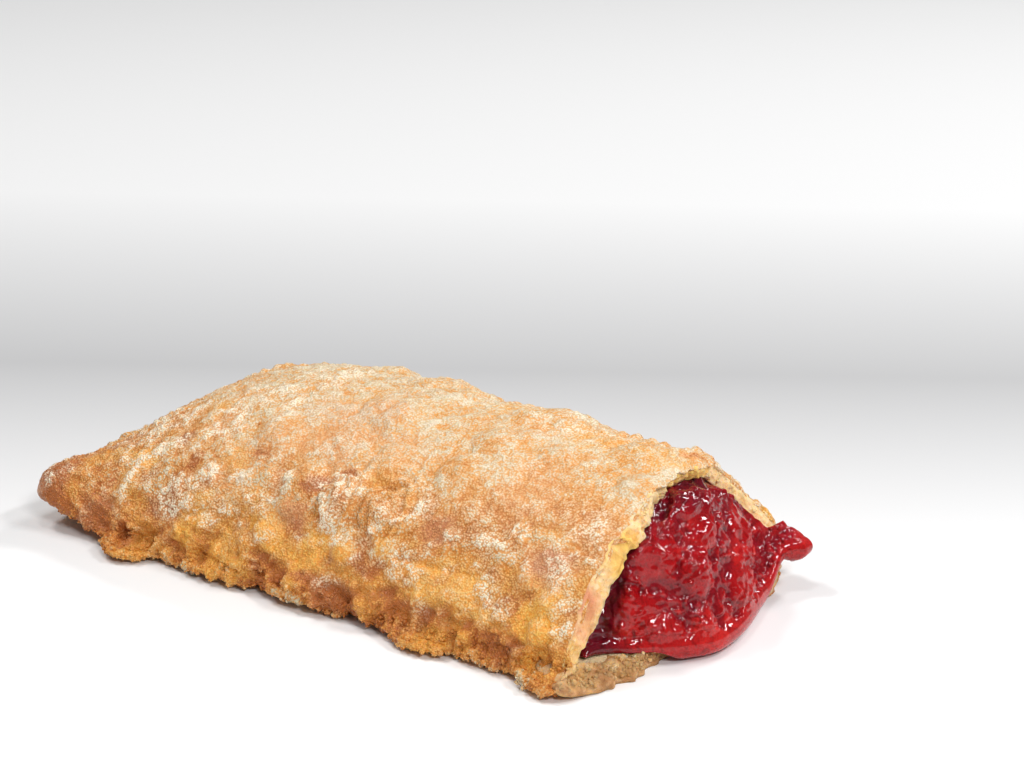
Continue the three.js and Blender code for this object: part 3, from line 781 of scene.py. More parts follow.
def crumb_surface():
    """The ring with its layers, lumps and pores, which fade out towards the hidden back."""
    plain = crumb_ring()
    across, _ = section(CRUMB_OVER_STEPS)
    x, y, z = np.moveaxis(plain, -1, 0)
    row = np.arange(len(plain))[:, None]
    hidden = FACE_STEPS + WALL_STEPS
    shown = smoothstep(row, 0, 4) * (1 - smoothstep(row, hidden - 6, hidden))
    depth = row * 0.11 + 1.2 * noise(x / 5, y / 5, z / 5)
    layers = np.abs(noise(across * 9, depth / 0.9, 5.5))
    layers = layers + 0.5 * np.abs(noise(across * 22, depth / 0.6, 9.5))
    lumps = 0.7 * fractal(x / 3.0, y / 3.0, z / 3.0, 3)
    bits = 0.4 * bubbles(x / 1.5, y / 1.5, z / 1.5)
    pores = 0.4 * bubbles(x / 2.2, y / 2.2, z / 2.2 + 7)
    upright = smoothstep(z, 3, 6)
    back = smoothstep(across, 0.25, 0.5) * np.ones(x.shape)
    height = (lumps + bits + 0.25 * layers * upright - 0.3 - pores * upright) * shown * (1 - 0.5 * back)
    points = plain + outward_normals(plain, closed_along=True) * height[..., None]
    points[..., 2] = np.maximum(points[..., 2], 0.05)
    toast = 1 - smoothstep(z + 1.6 * noise(x / 1.7, y / 1.7, z / 1.7), 2, 6)
    looks = {
        "yellow": patchwork(plain, YELLOW_CRUMB),
        "rose": patchwork(plain, ROSY_CRUMB),
        "toast": np.maximum(toast, 0.05 * back * upright),
        # painted shade in the pores and wherever the face sinks
        "pore_shade": np.clip(0.4 - 1.2 * height, 0, 1) * shown,
    }
    return points, looks


ring_points, ring_looks = crumb_surface()
print("the crumb's grid:", ring_points.shape[:2])


# %% [markdown]
# ## The filling
# The jelly fills the hollow up to the mouth and runs out as a tongue. Cherries lie just under its skin.
# Their lumps come first, then creases where the lumps meet, and small wrinkles in places.

# %% Filling dimensions
GAP, TABLE_GAP, TONGUE_START = 0.45, 0.25, 111
SINK = 0.9  # of the jelly into the soft crumb of the lip
TONGUE_FALL, SPUR, SPUR_SPREAD, FRONT_PULL_IN = 5.5, 2.8, 5, 1.5
NOTCH = (-0.3, 0.8, 0.06)  # a hill, which cuts in before the spur
TONGUE_ROUNDING, TONGUE_EDGE_HEIGHT, MOUND_HEIGHT, MOUND_RUN = 3, 2.8, 26, 9
FRONT_LIFT, BACK_LIFT = 1.2, 5.2  # of the tongue's edge at the mouth's two corners
BACK_SLUMP = (0.42, 1.03)  # from the first place across to the second, the mound falls away outside
LUMP, LUMP_SIZE = 0.9, 6.5
# The cherries: place along, place across, radius, height.
CHERRIES = [
    (124, -15, 6, 1.9), (131, -6, 5.4, 1.6), (127.5, 5, 5.6, 1.8), (121.5, -3.5, 5, 1.5),
    (129.5, 16, 5, 1.4), (120, 17, 6, 1.5), (128, 29, 5, 1.8),
]


# %% Filling form
def soft_minimum(a, b):
    """(a^-8 + b^-8)^(-1/8): the smaller of two heights, with the corner between them rounded off."""
    safe_a, safe_b = np.maximum(a, 1e-6), np.maximum(b, 1e-6)
    return np.where(np.minimum(a, b) < 1e-6, 0, (safe_a**-8.0 + safe_b**-8.0) ** -0.125)


def tongue_plan(across):
    """How far the tongue reaches: a smooth front corner, a slant towards the back, and a spur."""
    reach = TONGUE_REACH * smoothstep(across, -0.97, -0.12)
    fall = TONGUE_FALL * smoothstep(across, -0.05, 0.95)
    spur = SPUR * (smoothstep(across, 0.8, 0.88) - 1.6 * smoothstep(across, 0.93, 1))
    return FRONT_TEAR + reach - fall + hill(across, NOTCH) + spur


def support_height(x, across):
    """What the filling lies on: the pastry's floor, and past the lip the table."""
    lip = tear_place(across, np.zeros(across.shape, bool)) + TEAR_JAG
    on_table = smoothstep(x, lip, lip + 2.5)
    lift = BACK_LIFT * smoothstep(across, 0.62, 0.86) * smoothstep(x, 122.5, 127.5)
    on_floor = FLOOR_WALL + GAP - SINK * smoothstep(x, 119, 122)
    return lerp(on_floor, TABLE_GAP, on_table) + 0.95 * lift


def lumps(x, y, distance):
    """The cherries' bumps over gentle noise, fading out at the tongue's edge."""
    height = LUMP * noise(x / LUMP_SIZE, y / LUMP_SIZE, 3.5)
    for place_x, place_y, radius, rise in CHERRIES:
        height = np.maximum(height, rise * bump(x, y, place_x, place_y, radius))
    return height * smoothstep(distance, 0.5, 4) * smoothstep(x, 112, 118)


def headroom(x, y, seam, across):
    """How high the filling may stand under the pastry. Past the torn rim it is free, except behind the
    crown, where it keeps below the rim for a few millimetres more."""
    inside = np.clip(y / (CAVITY_WIDTH / 2), -1, 1)
    over = np.ones(across.shape, bool)
    rim = tear_place(across, over) + np.maximum(0, crumb_step(across, over)) + 1.5
    room = np.maximum(0, cavity_ceiling(x, inside) - GAP - seam)
    kept_low = smoothstep(across, 0.2, 0.4) * (1 - smoothstep(across, 0.86, 0.95))
    kept_low = kept_low * (1 - smoothstep(x, 124, 129))
    return room + PIE_HEIGHT * (1 - 0.97 * kept_low) * smoothstep(x, rim, rim + 5)


def tongue_surface(x, across, above):
    """The tongue slopes down from the hollow to a rounded edge, which follows its plan."""
    distance = np.maximum(0, tongue_plan(across) - x)
    rounded = quarter_round(distance, TONGUE_ROUNDING)
    out = smoothstep(x, TONGUE_START, FRONT_TEAR - 3)
    pull_in = FRONT_PULL_IN * out * smoothstep(-across, 0.4, 1)
    spread = SPUR_SPREAD * smoothstep(x, BACK_TEAR + 0.5, BACK_TEAR + 4.5) * smoothstep(across, 0.6, 1)
    y = (CAVITY_WIDTH / 2 - SIDE_GAP) * across + pull_in + spread
    support = support_height(x, across)
    lift = FRONT_LIFT * smoothstep(-across, 0.6, 0.95) + BACK_LIFT * smoothstep(across, 0.62, 0.86)
    edge = TONGUE_EDGE_HEIGHT + lift
    seam = np.maximum(lerp(edge, CAVITY_SEAM, smoothstep(distance, 1, 10)), support + GAP)
    lower = seam - (seam - support) * edge_fullness(across) * rounded
    run = np.maximum(0, distance - TONGUE_ROUNDING / 2)
    slump = smoothstep(across, BACK_SLUMP[0], BACK_SLUMP[1]) * smoothstep(x, 121, 127)
    mound = MOUND_HEIGHT * (1 - np.exp(-run / MOUND_RUN)) * (1 - slump)
    free = TONGUE_EDGE_HEIGHT * rounded + mound + lumps(x, y, distance)
    side = np.sqrt(np.maximum(0, 1 - np.abs(across) ** lerp(24, 10, out)))
    upper = seam + side * soft_minimum(headroom(x, y, seam, across), free)
    return np.stack(np.broadcast_arrays(x, y, np.where(above, upper, lower)), -1)


print("tongue in the middle reaches:", round(float(tongue_plan(0.0)), 1), "mm")


# %% Filling surface
FILLING_OVER_STEPS = 300
FILLING_HOLLOW_ROWS, TONGUE_ROWS = 12, 232
# The largest lumps under the jelly's skin: place along, across and up, radius.
JELLY_LUMPS = [
    (123.5, 0.5, 24, 5.5), (127, -0.5, 20.5, 4.5), (125, -11, 17.5, 4.5), (129, -5.5, 14.5, 5),
    (131, 8, 8, 6), (123.5, -17, 9, 5.5), (128.5, -14, 5.5, 4), (132.5, -7, 5, 4.5), (126.5, 14, 14, 6),
    (129.5, 10, 13, 4),
]
# Patches of finely rippled jelly: place along, across and up, radius, strength.
RIPPLE_PATCHES = [
    (122.7, -2.8, 26, 3.4, 1), (124.7, 1.2, 25.6, 3, 1), (125.9, 4.4, 22.8, 3.2, 1),
    (125.4, -7.4, 21.2, 3.4, 1), (126.4, 7.9, 19, 4, 1), (129.1, 1.4, 16, 4.2, 1),
    (130.7, -5.2, 16.4, 3, 0.9), (123.9, -16.3, 14, 4, 1), (129.9, 15.3, 5.3, 4, 1),
    (130.7, -8.5, 8.3, 4.4, 1), (125.3, -16.3, 6.7, 4, 1), (133.6, -7.1, 4.2, 3, 0.8),
    (127.3, -8.3, 18, 2.6, 0.8), (128.9, -8.5, 13.1, 3, 0.8), (127.8, 27.8, 11.1, 3.4, 0.9),
    (129.8, 26.3, 8.5, 3.6, 1), (132.4, 3.2, 7.2, 3.4, 0.9), (126.6, -12.2, 11.1, 2.8, 0.7),
    (129.4, 9.2, 14.1, 3, 0.7), (133.3, 7.4, 4.1, 3, 0.8), (127.5, 21.4, 8.2, 3, 0.7),
]
# Long folds: from here to there.
FOLDS = [
    ((124.6, -2.5, 24.2), (125.2, 2.5, 23.2)), ((131, -5.5, 11), (133.2, -6.5, 6.5)),
    ((128.7, -15, 4), (127.5, -13.5, 5)), ((122.5, -15.5, 15.5), (124.8, -13.5, 13)),
    ((133.4, -6, 6.5), (134.2, -2, 5.4)), ((123, -12.5, 18.5), (125.8, -9.5, 18.5)),
]
FOLD_HEIGHT, FOLD_WIDTH = 0.55, 0.45
MEETING_HEIGHT, MEETING_WIDTH = 1.4, 1.6  # how the jelly rises to the torn rim


def wrinkles(points):
    """Lumps with creases where they meet, a few long folds, and patches of fine ripples."""
    x, y, z = np.moveaxis(points, -1, 0)
    swirl_x = x + 1.4 * noise(x / 4, y / 4, 11.5)
    swirl_y = y + 1.4 * noise(x / 4, y / 4, 17.5)
    height = 0.75 * bubbles(swirl_x / 6.5, swirl_y / 6.5, z / 6.5)
    for place_x, place_y, place_z, radius in JELLY_LUMPS:
        square = (swirl_x - place_x) ** 2 + (swirl_y - place_y) ** 2 + (z - place_z) ** 2
        height = np.maximum(height, 1.8 * (1 - square / radius**2))
    small = bubbles(swirl_x / 2.8, swirl_y / 2.8, z / 2.8 + 5)
    veins = smoothstep(1 - np.abs(noise(swirl_x / 2.6, swirl_y / 2.6, z / 2.6 + 2)), 0.86, 1)
    height = height + 0.55 * small + 0.35 * fractal(x / 1.8, y / 1.8, z / 1.8, 2) + 0.3 * veins - 0.9
    for start, end in FOLDS:
        height = height + FOLD_HEIGHT * near_line(points, start, end, FOLD_WIDTH)
    fold = 1 - np.abs(noise(swirl_x / 1.1, swirl_y / 1.5, z / 1.3))
    ripples = 0.7 * (fold - 0.6) + 0.45 * bubbles(x / 1.3, y / 1.3, z / 1.3 + 3)
    return height + patchwork(points, RIPPLE_PATCHES) * ripples


def filling_surface():
    """The grid of the filling: the hollow's form, then the tongue, which rises a little to meet the torn
    rim and has its wrinkles outside it. The second result is how high they stand."""
    across, above = section(FILLING_OVER_STEPS)
    part = np.linspace(0, 1, FILLING_HOLLOW_ROWS, endpoint=False)[:, None]
    hollow_x = lerp(CAVITY_START + SIDE_GAP, TONGUE_START, part**1.2)
    hollow = cavity_surface(hollow_x, across, above, GAP, SIDE_GAP)
    out = np.sin(np.pi / 2 * np.linspace(0, 1, TONGUE_ROWS))[:, None]
    tongue = tongue_surface(lerp(TONGUE_START, tongue_plan(across), out), across, above)
    distance = tongue_plan(across) - tongue[..., 0]
    past_rim = tongue[..., 0] - tear_place(across, above) - crumb_step(across, above)
    seen_in = 2.5 * smoothstep(-across, 0.1, 0.5)  # at the front the eye sees past the rim into the mouth
    shown = smoothstep(distance, 0.2, 1.8) * edge_fullness(across)
    shown = shown * np.where(above, smoothstep(past_rim + seen_in, -1.5, 0.5), 1)
    shown = shown * np.where(above, 1 - 0.75 * smoothstep(across, 0.75, 0.9), 0.15)
    meeting = np.where(above, MEETING_HEIGHT * bell(past_rim + 0.5, MEETING_WIDTH), 0)
    high_front = smoothstep(tongue[..., 2], 5, 12) * (1 - smoothstep(across, 0.5, 0.7))
    height = wrinkles(tongue) * shown + meeting * high_front
    tongue = tongue + outward_normals(tongue) * height[..., None]
    return np.concatenate([hollow, tongue]), np.concatenate([np.zeros(hollow.shape[:2]), height])


def filling_looks(points, height):
    """Painted shade where the jelly meets the pastry, high up and in the creases; pale in clouds and along
    the rolled edge, and rippled all over, most of all in patches."""
    across, above = section(FILLING_OVER_STEPS)
    x, y, z = np.moveaxis(points, -1, 0)
    rim = tear_place(across, above) + crumb_step(across, above)
    seen_in = 0.9 * smoothstep(-across, 0.1, 0.5)
    # painted shade: the jelly turns nearly black along the torn rim, where the pastry overhangs it
    dark = 1 - smoothstep(x - rim + seen_in + 1.5 * noise(x / 3, y / 3, z / 3), -0.4, 2.8)
    high = smoothstep(z + 2 * noise(x / 4, y / 4, z / 4 + 5), 21, 26)
    pale = smoothstep(fractal(x / 3.5, y / 3.5, z / 3.5 + 8, 3), 0.1, 0.9) * (1 - high)
    edge = 1 - smoothstep(tongue_plan(across) - x, 0.5, 3)
    ripple = patchwork(points, RIPPLE_PATCHES)
    # painted shade also high up and in the creases, where the wrinkles sink
    dark = np.maximum(np.maximum(dark, 0.75 * high), 0.6 * smoothstep(-height, 0.0, 0.7))
    return {"dark": dark, "pale": np.maximum(pale, 0.4 * edge), "ripple": np.maximum(ripple, 0.7)}


jelly_points, jelly_height = filling_surface()
jelly_looks = filling_looks(jelly_points, jelly_height)
print("the jelly's grid:", jelly_points.shape[:2])


# %% [markdown]
# ## Materials
# Each finish is a shader that reads the looks that the meshes carry, and adds grain that is finer than
# the mesh. Sizes of grain are given in millimetres and turned into a texture's scale.


# %% Shader helpers
def new_material(name):
    """A material with a Principled shader, and its node tree."""
    material = bpy.data.materials.new(name)
    material.use_nodes = True
    return material, material.node_tree, material.node_tree.nodes["Principled BSDF"]


def look(tree, name):
    """The value of one look of the mesh."""
    node = tree.nodes.new("ShaderNodeAttribute")
    node.attribute_name = name
    return node.outputs["Fac"]


def grain(tree, size, detail=2.0, roughness=0.5):
    """Noise from 0 to 1 whose lumps are about this many millimetres wide."""
    place = tree.nodes.new("ShaderNodeTexCoord")
    node = tree.nodes.new("ShaderNodeTexNoise")
    node.inputs["Scale"].default_value = 1000 / size
    node.inputs["Detail"].default_value = detail
    node.inputs["Roughness"].default_value = roughness
    tree.links.new(place.outputs["Object"], node.inputs["Vector"])
    return node.outputs["Fac"]


def pebbles(tree, size):
    """From 0 to 1: rounded grains about this many millimetres wide, with narrow valleys between them."""
    place = tree.nodes.new("ShaderNodeTexCoord")
    node = tree.nodes.new("ShaderNodeTexVoronoi")
    node.inputs["Scale"].default_value = 1000 / size
    tree.links.new(place.outputs["Object"], node.inputs["Vector"])
    return span(tree, node.outputs["Distance"], 0.1, 0.8, 1, 0)


def put(tree, value, socket):
    """Gives a socket a number, a colour or another socket's value."""
    if isinstance(value, bpy.types.NodeSocket):
        tree.links.new(value, socket)
    else:
        socket.default_value = value


def span(tree, value, low, high, to_low=0.0, to_high=1.0):
    """Stretches the range low to high onto to_low to to_high, and clips."""
    node = tree.nodes.new("ShaderNodeMapRange")
    put(tree, value, node.inputs["Value"])
    node.inputs["From Min"].default_value = low
    node.inputs["From Max"].default_value = high
    node.inputs["To Min"].default_value = to_low
    node.inputs["To Max"].default_value = to_high
    return node.outputs["Result"]


def calculate(tree, operation, first, second):
    """One step of arithmetic with two values."""
    node = tree.nodes.new("ShaderNodeMath")
    node.operation = operation
    put(tree, first, node.inputs[0])
    put(tree, second, node.inputs[1])
    return node.outputs["Value"]


def blend_colours(tree, part, first, second):
    """Two colours mixed by a part from 0 to 1."""
    node = tree.nodes.new("ShaderNodeMix")
    node.data_type = "RGBA"
    put(tree, part, node.inputs["Factor"])
    put(tree, first, node.inputs[6])
    put(tree, second, node.inputs[7])
    return node.outputs[2]


def ramp(tree, value, stops):
    """A colour for each value, blended between the stops (place, colour)."""
    node = tree.nodes.new("ShaderNodeValToRGB")
    put(tree, value, node.inputs["Fac"])
    elements = node.color_ramp.elements
    while len(elements) < len(stops):
        elements.new(0.5)
    for element, (place, colour) in zip(elements, stops):
        element.position = place
        element.color = colour
    return node.outputs["Color"]


def finish_shader(shader, **values):
    """Sets the shader's plain values. A name's underscores stand for spaces."""
    for name, value in values.items():
        shader.inputs[name.replace("_", " ")].default_value = value


def bumps(tree, shader, *layers):
    """Tilts the surface's shading by several heights: (value, depth in millimetres, strength)."""
    normal = None
    for value, depth, strength in layers:
        node = tree.nodes.new("ShaderNodeBump")
        put(tree, value, node.inputs["Height"])
        node.inputs["Distance"].default_value = depth / 1000
        node.inputs["Strength"].default_value = strength
        if normal is not None:
            tree.links.new(normal, node.inputs["Normal"])
        normal = node.outputs["Normal"]
    tree.links.new(normal, shader.inputs["Normal"])


# %% Pastry colours and finishes
CREAM = (0.69, 0.585, 0.405, 1)
STRAW = (0.67, 0.47, 0.255, 1)
GOLD = (0.75, 0.345, 0.085, 1)
CARAMEL = (0.60, 0.21, 0.032, 1)
UMBER = (0.42, 0.115, 0.016, 1)
BUTTER = (1.0, 0.59, 0.12, 1)
HONEY = (0.86, 0.35, 0.04, 1)
ROSE = (0.76, 0.34, 0.17, 1)
FLOUR = (0.96, 0.83, 0.63, 1)
CRUMB = (0.80, 0.60, 0.35, 1)
DOUGH, PALE_DOUGH, SPECKLE = (0.95, 0.52, 0.17, 1), (0.95, 0.68, 0.35, 1), (0.95, 0.76, 0.52, 1)
BUTTERY_DOUGH, ROSY_DOUGH = (0.96, 0.55, 0.11, 1), (0.78, 0.33, 0.18, 1)
# the toasted foot's colour, and the colour of the painted shade in the pores
TOAST, PORE_SHADE = (0.44, 0.215, 0.085, 1), (0.66, 0.36, 0.12, 1)


def skin_material():
    """The skin's frying colour and painted shade as a ramp of colours, with butter, rose and flour laid
    over it. What stands high and the fine grains are pale and take the flour; the hollows between them are
    brown."""
    material, tree, shader = new_material("fried_skin")
    mottle = grain(tree, 1.9, 4, 0.7)
    uneven_grain = calculate(tree, "ADD", pebbles(tree, 0.42), grain(tree, 0.8, 3, 0.7))
    speck = span(tree, uneven_grain, 0.6, 1.4)
    lift, coarse = look(tree, "lift"), look(tree, "coarse")
    fine = calculate(tree, "MULTIPLY", span(tree, speck, 0, 1, 0.34, -0.28), coarse)
    uneven = calculate(tree, "ADD", span(tree, mottle, 0.3, 0.7, -0.11, 0.11), fine)
    uneven = calculate(tree, "ADD", uneven, span(tree, lift, 0, 1, 0.25, -0.2))
    brown = calculate(tree, "ADD", look(tree, "browning"), uneven)
    skin = ramp(tree, brown, [(0, CREAM), (0.2, STRAW), (0.42, GOLD), (0.72, CARAMEL), (1, UMBER)])
    butter = calculate(tree, "MULTIPLY", look(tree, "amber"), span(tree, mottle, 0.3, 0.55, 0.6, 1.0))
    skin = blend_colours(tree, butter, skin, blend_colours(tree, speck, HONEY, BUTTER))
    rosy = calculate(tree, "MULTIPLY", look(tree, "rose"), 0.4)
    skin = blend_colours(tree, rosy, skin, ROSE)
    dust = calculate(tree, "MULTIPLY", look(tree, "flour"), span(tree, lift, 0.1, 0.9, 0.4, 2.1))
    dust = calculate(tree, "MULTIPLY", dust, span(tree, speck, 0.1, 0.8, 0.12, 1.25))
    skin = blend_colours(tree, span(tree, dust, 0, 1.1), skin, FLOUR)
    skin = blend_colours(tree, look(tree, "crumb"), skin, CRUMB)
    tree.links.new(skin, shader.inputs["Base Color"])
    tree.links.new(span(tree, speck, 0, 1, 0.32, 0.56), shader.inputs["Roughness"])
    finish_shader(
        shader, Specular_IOR_Level=0.4, Subsurface_Weight=0.12, Subsurface_Radius=(1.0, 0.5, 0.25),
        Subsurface_Scale=0.001,
    )
    raised = calculate(tree, "MULTIPLY", speck, coarse)
    bumps(tree, shader, (mottle, 0.6, 0.8), (raised, 0.22, 1.0))
    return material


def crumb_material():
    """Pale, spongy pastry: patches of butter and rose, toasted along its foot, and painted shade in its
    pores and low places.
    """
    material, tree, shader = new_material("torn_crumb")
    mottle = grain(tree, 1.8, 4, 0.65)
    speck = grain(tree, 0.7, 3, 0.65)
    crumb = blend_colours(tree, span(tree, mottle, 0.3, 0.7), DOUGH, PALE_DOUGH)
    crumb = blend_colours(tree, span(tree, speck, 0.4, 0.62, 0, 0.6), crumb, SPECKLE)
    crumb = blend_colours(tree, look(tree, "yellow"), crumb, BUTTERY_DOUGH)
    crumb = blend_colours(tree, look(tree, "rose"), crumb, ROSY_DOUGH)
    toasted = calculate(tree, "MULTIPLY", look(tree, "toast"), span(tree, mottle, 0.3, 0.55, 0.5, 1))
    crumb = blend_colours(tree, toasted, crumb, TOAST)
    # painted shade in the pores and low places
    crumb = blend_colours(tree, span(tree, look(tree, "pore_shade"), 0.3, 1.0, 0, 0.3), crumb, PORE_SHADE)
    tree.links.new(crumb, shader.inputs["Base Color"])
    finish_shader(
        shader, Roughness=0.7, Specular_IOR_Level=0.25, Subsurface_Weight=0.4,
        Subsurface_Radius=(1.0, 0.55, 0.22), Subsurface_Scale=0.0015,
    )
    bumps(tree, shader, (mottle, 0.5, 0.8), (speck, 0.4, 1.0))
    return material


# %% Jelly and floor
CHERRY, BRIGHT_CHERRY = (0.36, 0.0045, 0.0065, 1), (0.53, 0.018, 0.016, 1)
# the nearly black red of the painted shade on the jelly
SHADED_CHERRY = (0.11, 0.004, 0.012, 1)
# the floor's colours: white, and the two greys of its painted shade behind the pie
WHITE, PALE_SHADE_GREY, SHADE_GREY = (0.96, 0.96, 0.96, 1), (0.83, 0.83, 0.83, 1), (0.48, 0.48, 0.485, 1)
FLOOR_NEAR, FLOOR_FAR = -0.05, 0.55  # metres behind the pie, between which the floor changes its tone


def jelly_material():
    """Deep red jelly: light passes a little way into it, and a clear wet coat gives sharp glints."""
    material, tree, shader = new_material("cherry_jelly")
    red = blend_colours(tree, look(tree, "pale"), CHERRY, BRIGHT_CHERRY)
    # painted shade: the jelly turns nearly black where the look says so
    dark = calculate(tree, "MULTIPLY", look(tree, "dark"), 0.92)
    red = blend_colours(tree, dark, red, SHADED_CHERRY)
    tree.links.new(red, shader.inputs["Base Color"])
    finish_shader(
        shader, Roughness=0.4, Specular_IOR_Level=0.0, Subsurface_Weight=0.3,
        Subsurface_Radius=(1.0, 0.08, 0.06), Subsurface_Scale=0.002,
        Coat_Weight=1.0, Coat_Roughness=0.04, Coat_IOR=1.42,
    )
    small = calculate(tree, "MULTIPLY", grain(tree, 1.5, 1.5, 0.5), look(tree, "ripple"))
    bumps(tree, shader, (grain(tree, 3.2, 1), 1.6, 0.8), (small, 2.6, 1.0))
    return material


def floor_material():
    """Nearly white under the pie, with painted shade that turns it light grey behind it, and white again
    far away.
    """
    material, tree, shader = new_material("pale_floor")
    place = tree.nodes.new("ShaderNodeTexCoord")
    apart = tree.nodes.new("ShaderNodeSeparateXYZ")
    tree.links.new(place.outputs["Object"], apart.inputs["Vector"])
    sideways = calculate(tree, "MULTIPLY", apart.outputs["X"], -math.sin(CAMERA_AZIMUTH))
    away = calculate(tree, "MULTIPLY", apart.outputs["Y"], math.cos(CAMERA_AZIMUTH))
    distance = span(tree, calculate(tree, "ADD", sideways, away), FLOOR_NEAR, FLOOR_FAR)
    # painted shade: a grey band behind the pie
    tone = ramp(tree, distance, [(0, WHITE), (0.26, SHADE_GREY), (0.5, PALE_SHADE_GREY), (1, WHITE)])
    tree.links.new(tone, shader.inputs["Base Color"])
    finish_shader(shader, Roughness=0.7, Specular_IOR_Level=0.1)
    return material


fried_skin, soft_crumb, wet_jelly = skin_material(), crumb_material(), jelly_material()
print("finishes:", fried_skin.name, soft_crumb.name, wet_jelly.name)


# %% [markdown]
# ## Putting the pieces together
# Each piece rides on the pie's one body and stands for its solid, which is hidden.


# %% Make the large pieces
def place_piece(name, points, quads, triangles, material, looks, node, slot):
    """Makes a piece on the pie's body, and hides the solid that it stands for. The slot is not used."""
    piece = make_piece(name, points.reshape(-1, 3), quads, triangles, material, looks)
    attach(piece, "root")
    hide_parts(node)


rows, columns = skin_points.shape[:2]
folded = fold_faces(grid_faces(rows, columns), rows, columns)
place_piece("crust_skin", skin_points, *folded, fried_skin, skin_values, "crust", "crust")

ring_quads = grid_faces(*ring_points.shape[:2], closed_along=True)
place_piece("torn_crumb", ring_points, ring_quads, NO_TRIANGLES, soft_crumb, ring_looks, "crust", "crust")

rows, columns = jelly_points.shape[:2]
folded = fold_faces(grid_faces(rows, columns), rows, columns)
place_piece("cherry_jelly", jelly_points, *folded, wet_jelly, jelly_looks, "cherry_filling", "filling")

# %% [markdown]
# ## Loose crumbs
# Small crumbs of pastry cling to the skin, most of them along the low edges, and paler ones to the torn
# face, most of them on the lip. Each is a twenty-sided lump with jittered corners, nearly half sunk in.

# %% Loose crumbs
CRUMB_COUNT, PALE_CRUMB_COUNT = 2200, 500
CRUMB_SIZES = (0.2, 0.6)
STRETCHES, JITTERS = (0.7, 1.3), (0.75, 1.25)
draw = np.random.default_rng(7)


def twenty_sided():
    """An icosahedron: the twelve points (0, 1, golden ratio), turned three ways, and its faces."""
    golden = (1 + 5**0.5) / 2
    corners = np.array([(0, a, b * golden) for a in (-1, 1) for b in (-1, 1)], float)
    corners = np.concatenate([corners, np.roll(corners, 1, 1), np.roll(corners, 2, 1)])
    gaps = np.linalg.norm(corners[:, None] - corners[None], axis=2)
    near = (gaps > 0.1) & (gaps < 2.1)
    faces = [
        (a, b, c)
        for a in range(12) for b in range(a + 1, 12) for c in range(b + 1, 12)
        if near[a, b] and near[b, c] and near[a, c]
    ]
    faces = np.array(faces)
    first, second, third = corners[faces].swapaxes(0, 1)
    outward = np.einsum("ij,ij->i", np.cross(second - first, third - first), first) > 0
    faces[~outward] = faces[~outward][:, ::-1]
    return corners / np.linalg.norm(corners[0]), faces


def scatter(places, normals, weight, looks, count, tones):
    """Draws places by weight, then a size, a stretch and a turn for each crumb. Each crumb has the looks
    of its place, changed by the named tones."""
    chosen = draw.choice(weight.size, count, replace=False, p=(weight / weight.sum()).ravel())
    corners, faces = twenty_sided()
    size = lerp(*CRUMB_SIZES, draw.random(count) ** 2.5)
    stretch = draw.uniform(*STRETCHES, (count, 1, 3))
    jitter = draw.uniform(*JITTERS, (count, 12, 1))
    turn = np.linalg.qr(draw.normal(size=(count, 3, 3)))[0]
    turn = turn * np.sign(np.linalg.det(turn))[:, None, None]
    bodies = np.einsum("nij,nkj->nki", turn, corners[None] * stretch * jitter) * size[:, None, None]
    middle = places.reshape(-1, 3)[chosen] + normals.reshape(-1, 3)[chosen] * (size * 0.1)[:, None]
    bodies = (bodies + middle[:, None]).reshape(-1, 3)
    bodies[:, 2] = np.maximum(bodies[:, 2], 0.05)
    body_faces = (faces[None] + 12 * np.arange(count)[:, None, None]).reshape(-1, 3)
    body_looks = {}
    for name, values in looks.items():
        tone = draw.uniform(*tones.get(name, (0, 0)), count)
        body_looks[name] = np.repeat(np.clip(values.ravel()[chosen] + tone, 0, 1), 12)
    return bodies, body_faces, body_looks


def surface_area(places):
    """The size of the cross product of the differences along and around."""
    return np.linalg.norm(np.cross(np.gradient(places, axis=0), np.gradient(places, axis=1)), axis=2)


def high_enough(places):
    """Whether a place stands clear of the table."""
    return places[..., 2] > 0.6


rows = slice(NOSE_ROWS, NOSE_ROWS + OUTER_ROWS)
outside = skin_points[rows]
low_edge = (1 - smoothstep(outside[..., 2], 2, 6)) * smoothstep(np.abs(outside[..., 1]), 26, 31)
weight = surface_area(outside) * (0.001 + 1.6 * low_edge) * high_enough(outside)
skin_tones = {"browning": (-0.1, 0.1), "lift": (-0.1, 0.5)}
outside_looks = {name: values[rows] for name, values in skin_values.items()}
bodies, body_faces, body_looks = scatter(
    outside, outward_normals(outside), weight, outside_looks, CRUMB_COUNT, skin_tones
)
place_piece("loose_crumbs", bodies, NO_QUADS, body_faces, fried_skin, body_looks, "crust", "crust")

# %% Crumbs on the torn face and the lip
rows = slice(4, FACE_STEPS)
face = ring_points[rows]
face_normals = outward_normals(ring_points, closed_along=True)[rows]
on_lip = 1 - smoothstep(face[..., 2], 2.5, 5)
weight = surface_area(face) * (0.08 + 1.4 * on_lip) * high_enough(face)
face_looks = {name: values[rows] for name, values in ring_looks.items()}
bodies, body_faces, body_looks = scatter(
    face, face_normals, weight, face_looks, PALE_CRUMB_COUNT, {"toast": (-0.3, 0.2)}
)
place_piece("pale_crumbs", bodies, NO_QUADS, body_faces, soft_crumb, body_looks, "crust", "crust")

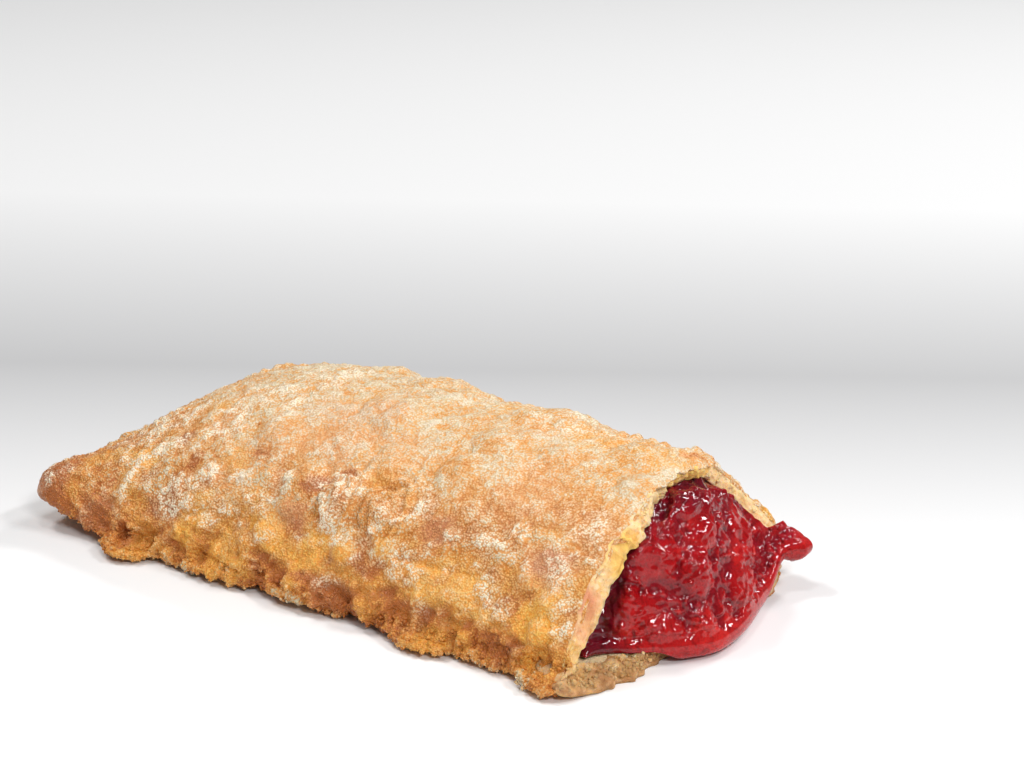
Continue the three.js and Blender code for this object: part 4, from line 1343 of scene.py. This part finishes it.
# %% [markdown]
# ## Floor and light
# A pale floor shows the soft shadow. A soft box high over the sealed end lights the crown, and a broader
# one fills the front and the jelly. Narrow soft boxes behind, beside and over the pie draw long glints on
# the wet jelly. The world gives a weak light from everywhere.

# %% Floor and lights
FLOOR_HALF = 4.0  # metres
# The soft boxes: name, azimuth from the front, elevation, distance, width, height, watts.
SOFT_BOXES = [
    ("key", -75, 60, 0.9, 0.17, 0.17, 2.6),
    ("front_fill", 55, 38, 1.1, 0.26, 0.12, 4.7),
    ("back_glint", 165, 42, 0.9, 0.26, 0.08, 2.5),
    ("right_glint", 105, 50, 0.8, 0.24, 0.06, 2.1),
    ("top_glint", 10, 80, 0.8, 0.12, 0.05, 0.8),
    ("left_glint", -35, 50, 0.8, 0.1, 0.05, 0.5),
]
WORLD_STRENGTH = 0.16


def make_floor():
    """A large square that the pie stands on."""
    mesh = bpy.data.meshes.new("floor")
    corners = [(FLOOR_HALF * a, FLOOR_HALF * b, 0) for a, b in ((-1, -1), (1, -1), (1, 1), (-1, 1))]
    mesh.from_pydata(corners, [], [(0, 1, 2, 3)])
    mesh.materials.append(floor_material())
    floor = bpy.data.objects.new("floor", mesh)
    bpy.context.scene.collection.objects.link(floor)


def soft_box(name, azimuth, elevation, distance, width, height, power):
    """A flat area light that looks at the pie from this direction."""
    a, e = math.radians(azimuth), math.radians(elevation)
    direction = Vector((math.sin(a) * math.cos(e), -math.cos(a) * math.cos(e), math.sin(e)))
    light = bpy.data.lights.new(name, "AREA")
    light.shape = "RECTANGLE"
    light.size = width
    light.size_y = height
    light.energy = power
    lamp = bpy.data.objects.new(name, light)
    lamp.location = direction * distance
    lamp.rotation_euler = direction.to_track_quat("Z", "Y").to_euler()
    bpy.context.scene.collection.objects.link(lamp)


make_floor()
for box in SOFT_BOXES:
    soft_box(*box)
world = bpy.data.worlds.new("world")
world.use_nodes = True
world.node_tree.nodes["Background"].inputs["Color"].default_value = (1, 1, 1, 1)
world.node_tree.nodes["Background"].inputs["Strength"].default_value = WORLD_STRENGTH
bpy.context.scene.world = world
bpy.context.scene.view_settings.view_transform = "Standard"
print("soft boxes:", len(SOFT_BOXES))
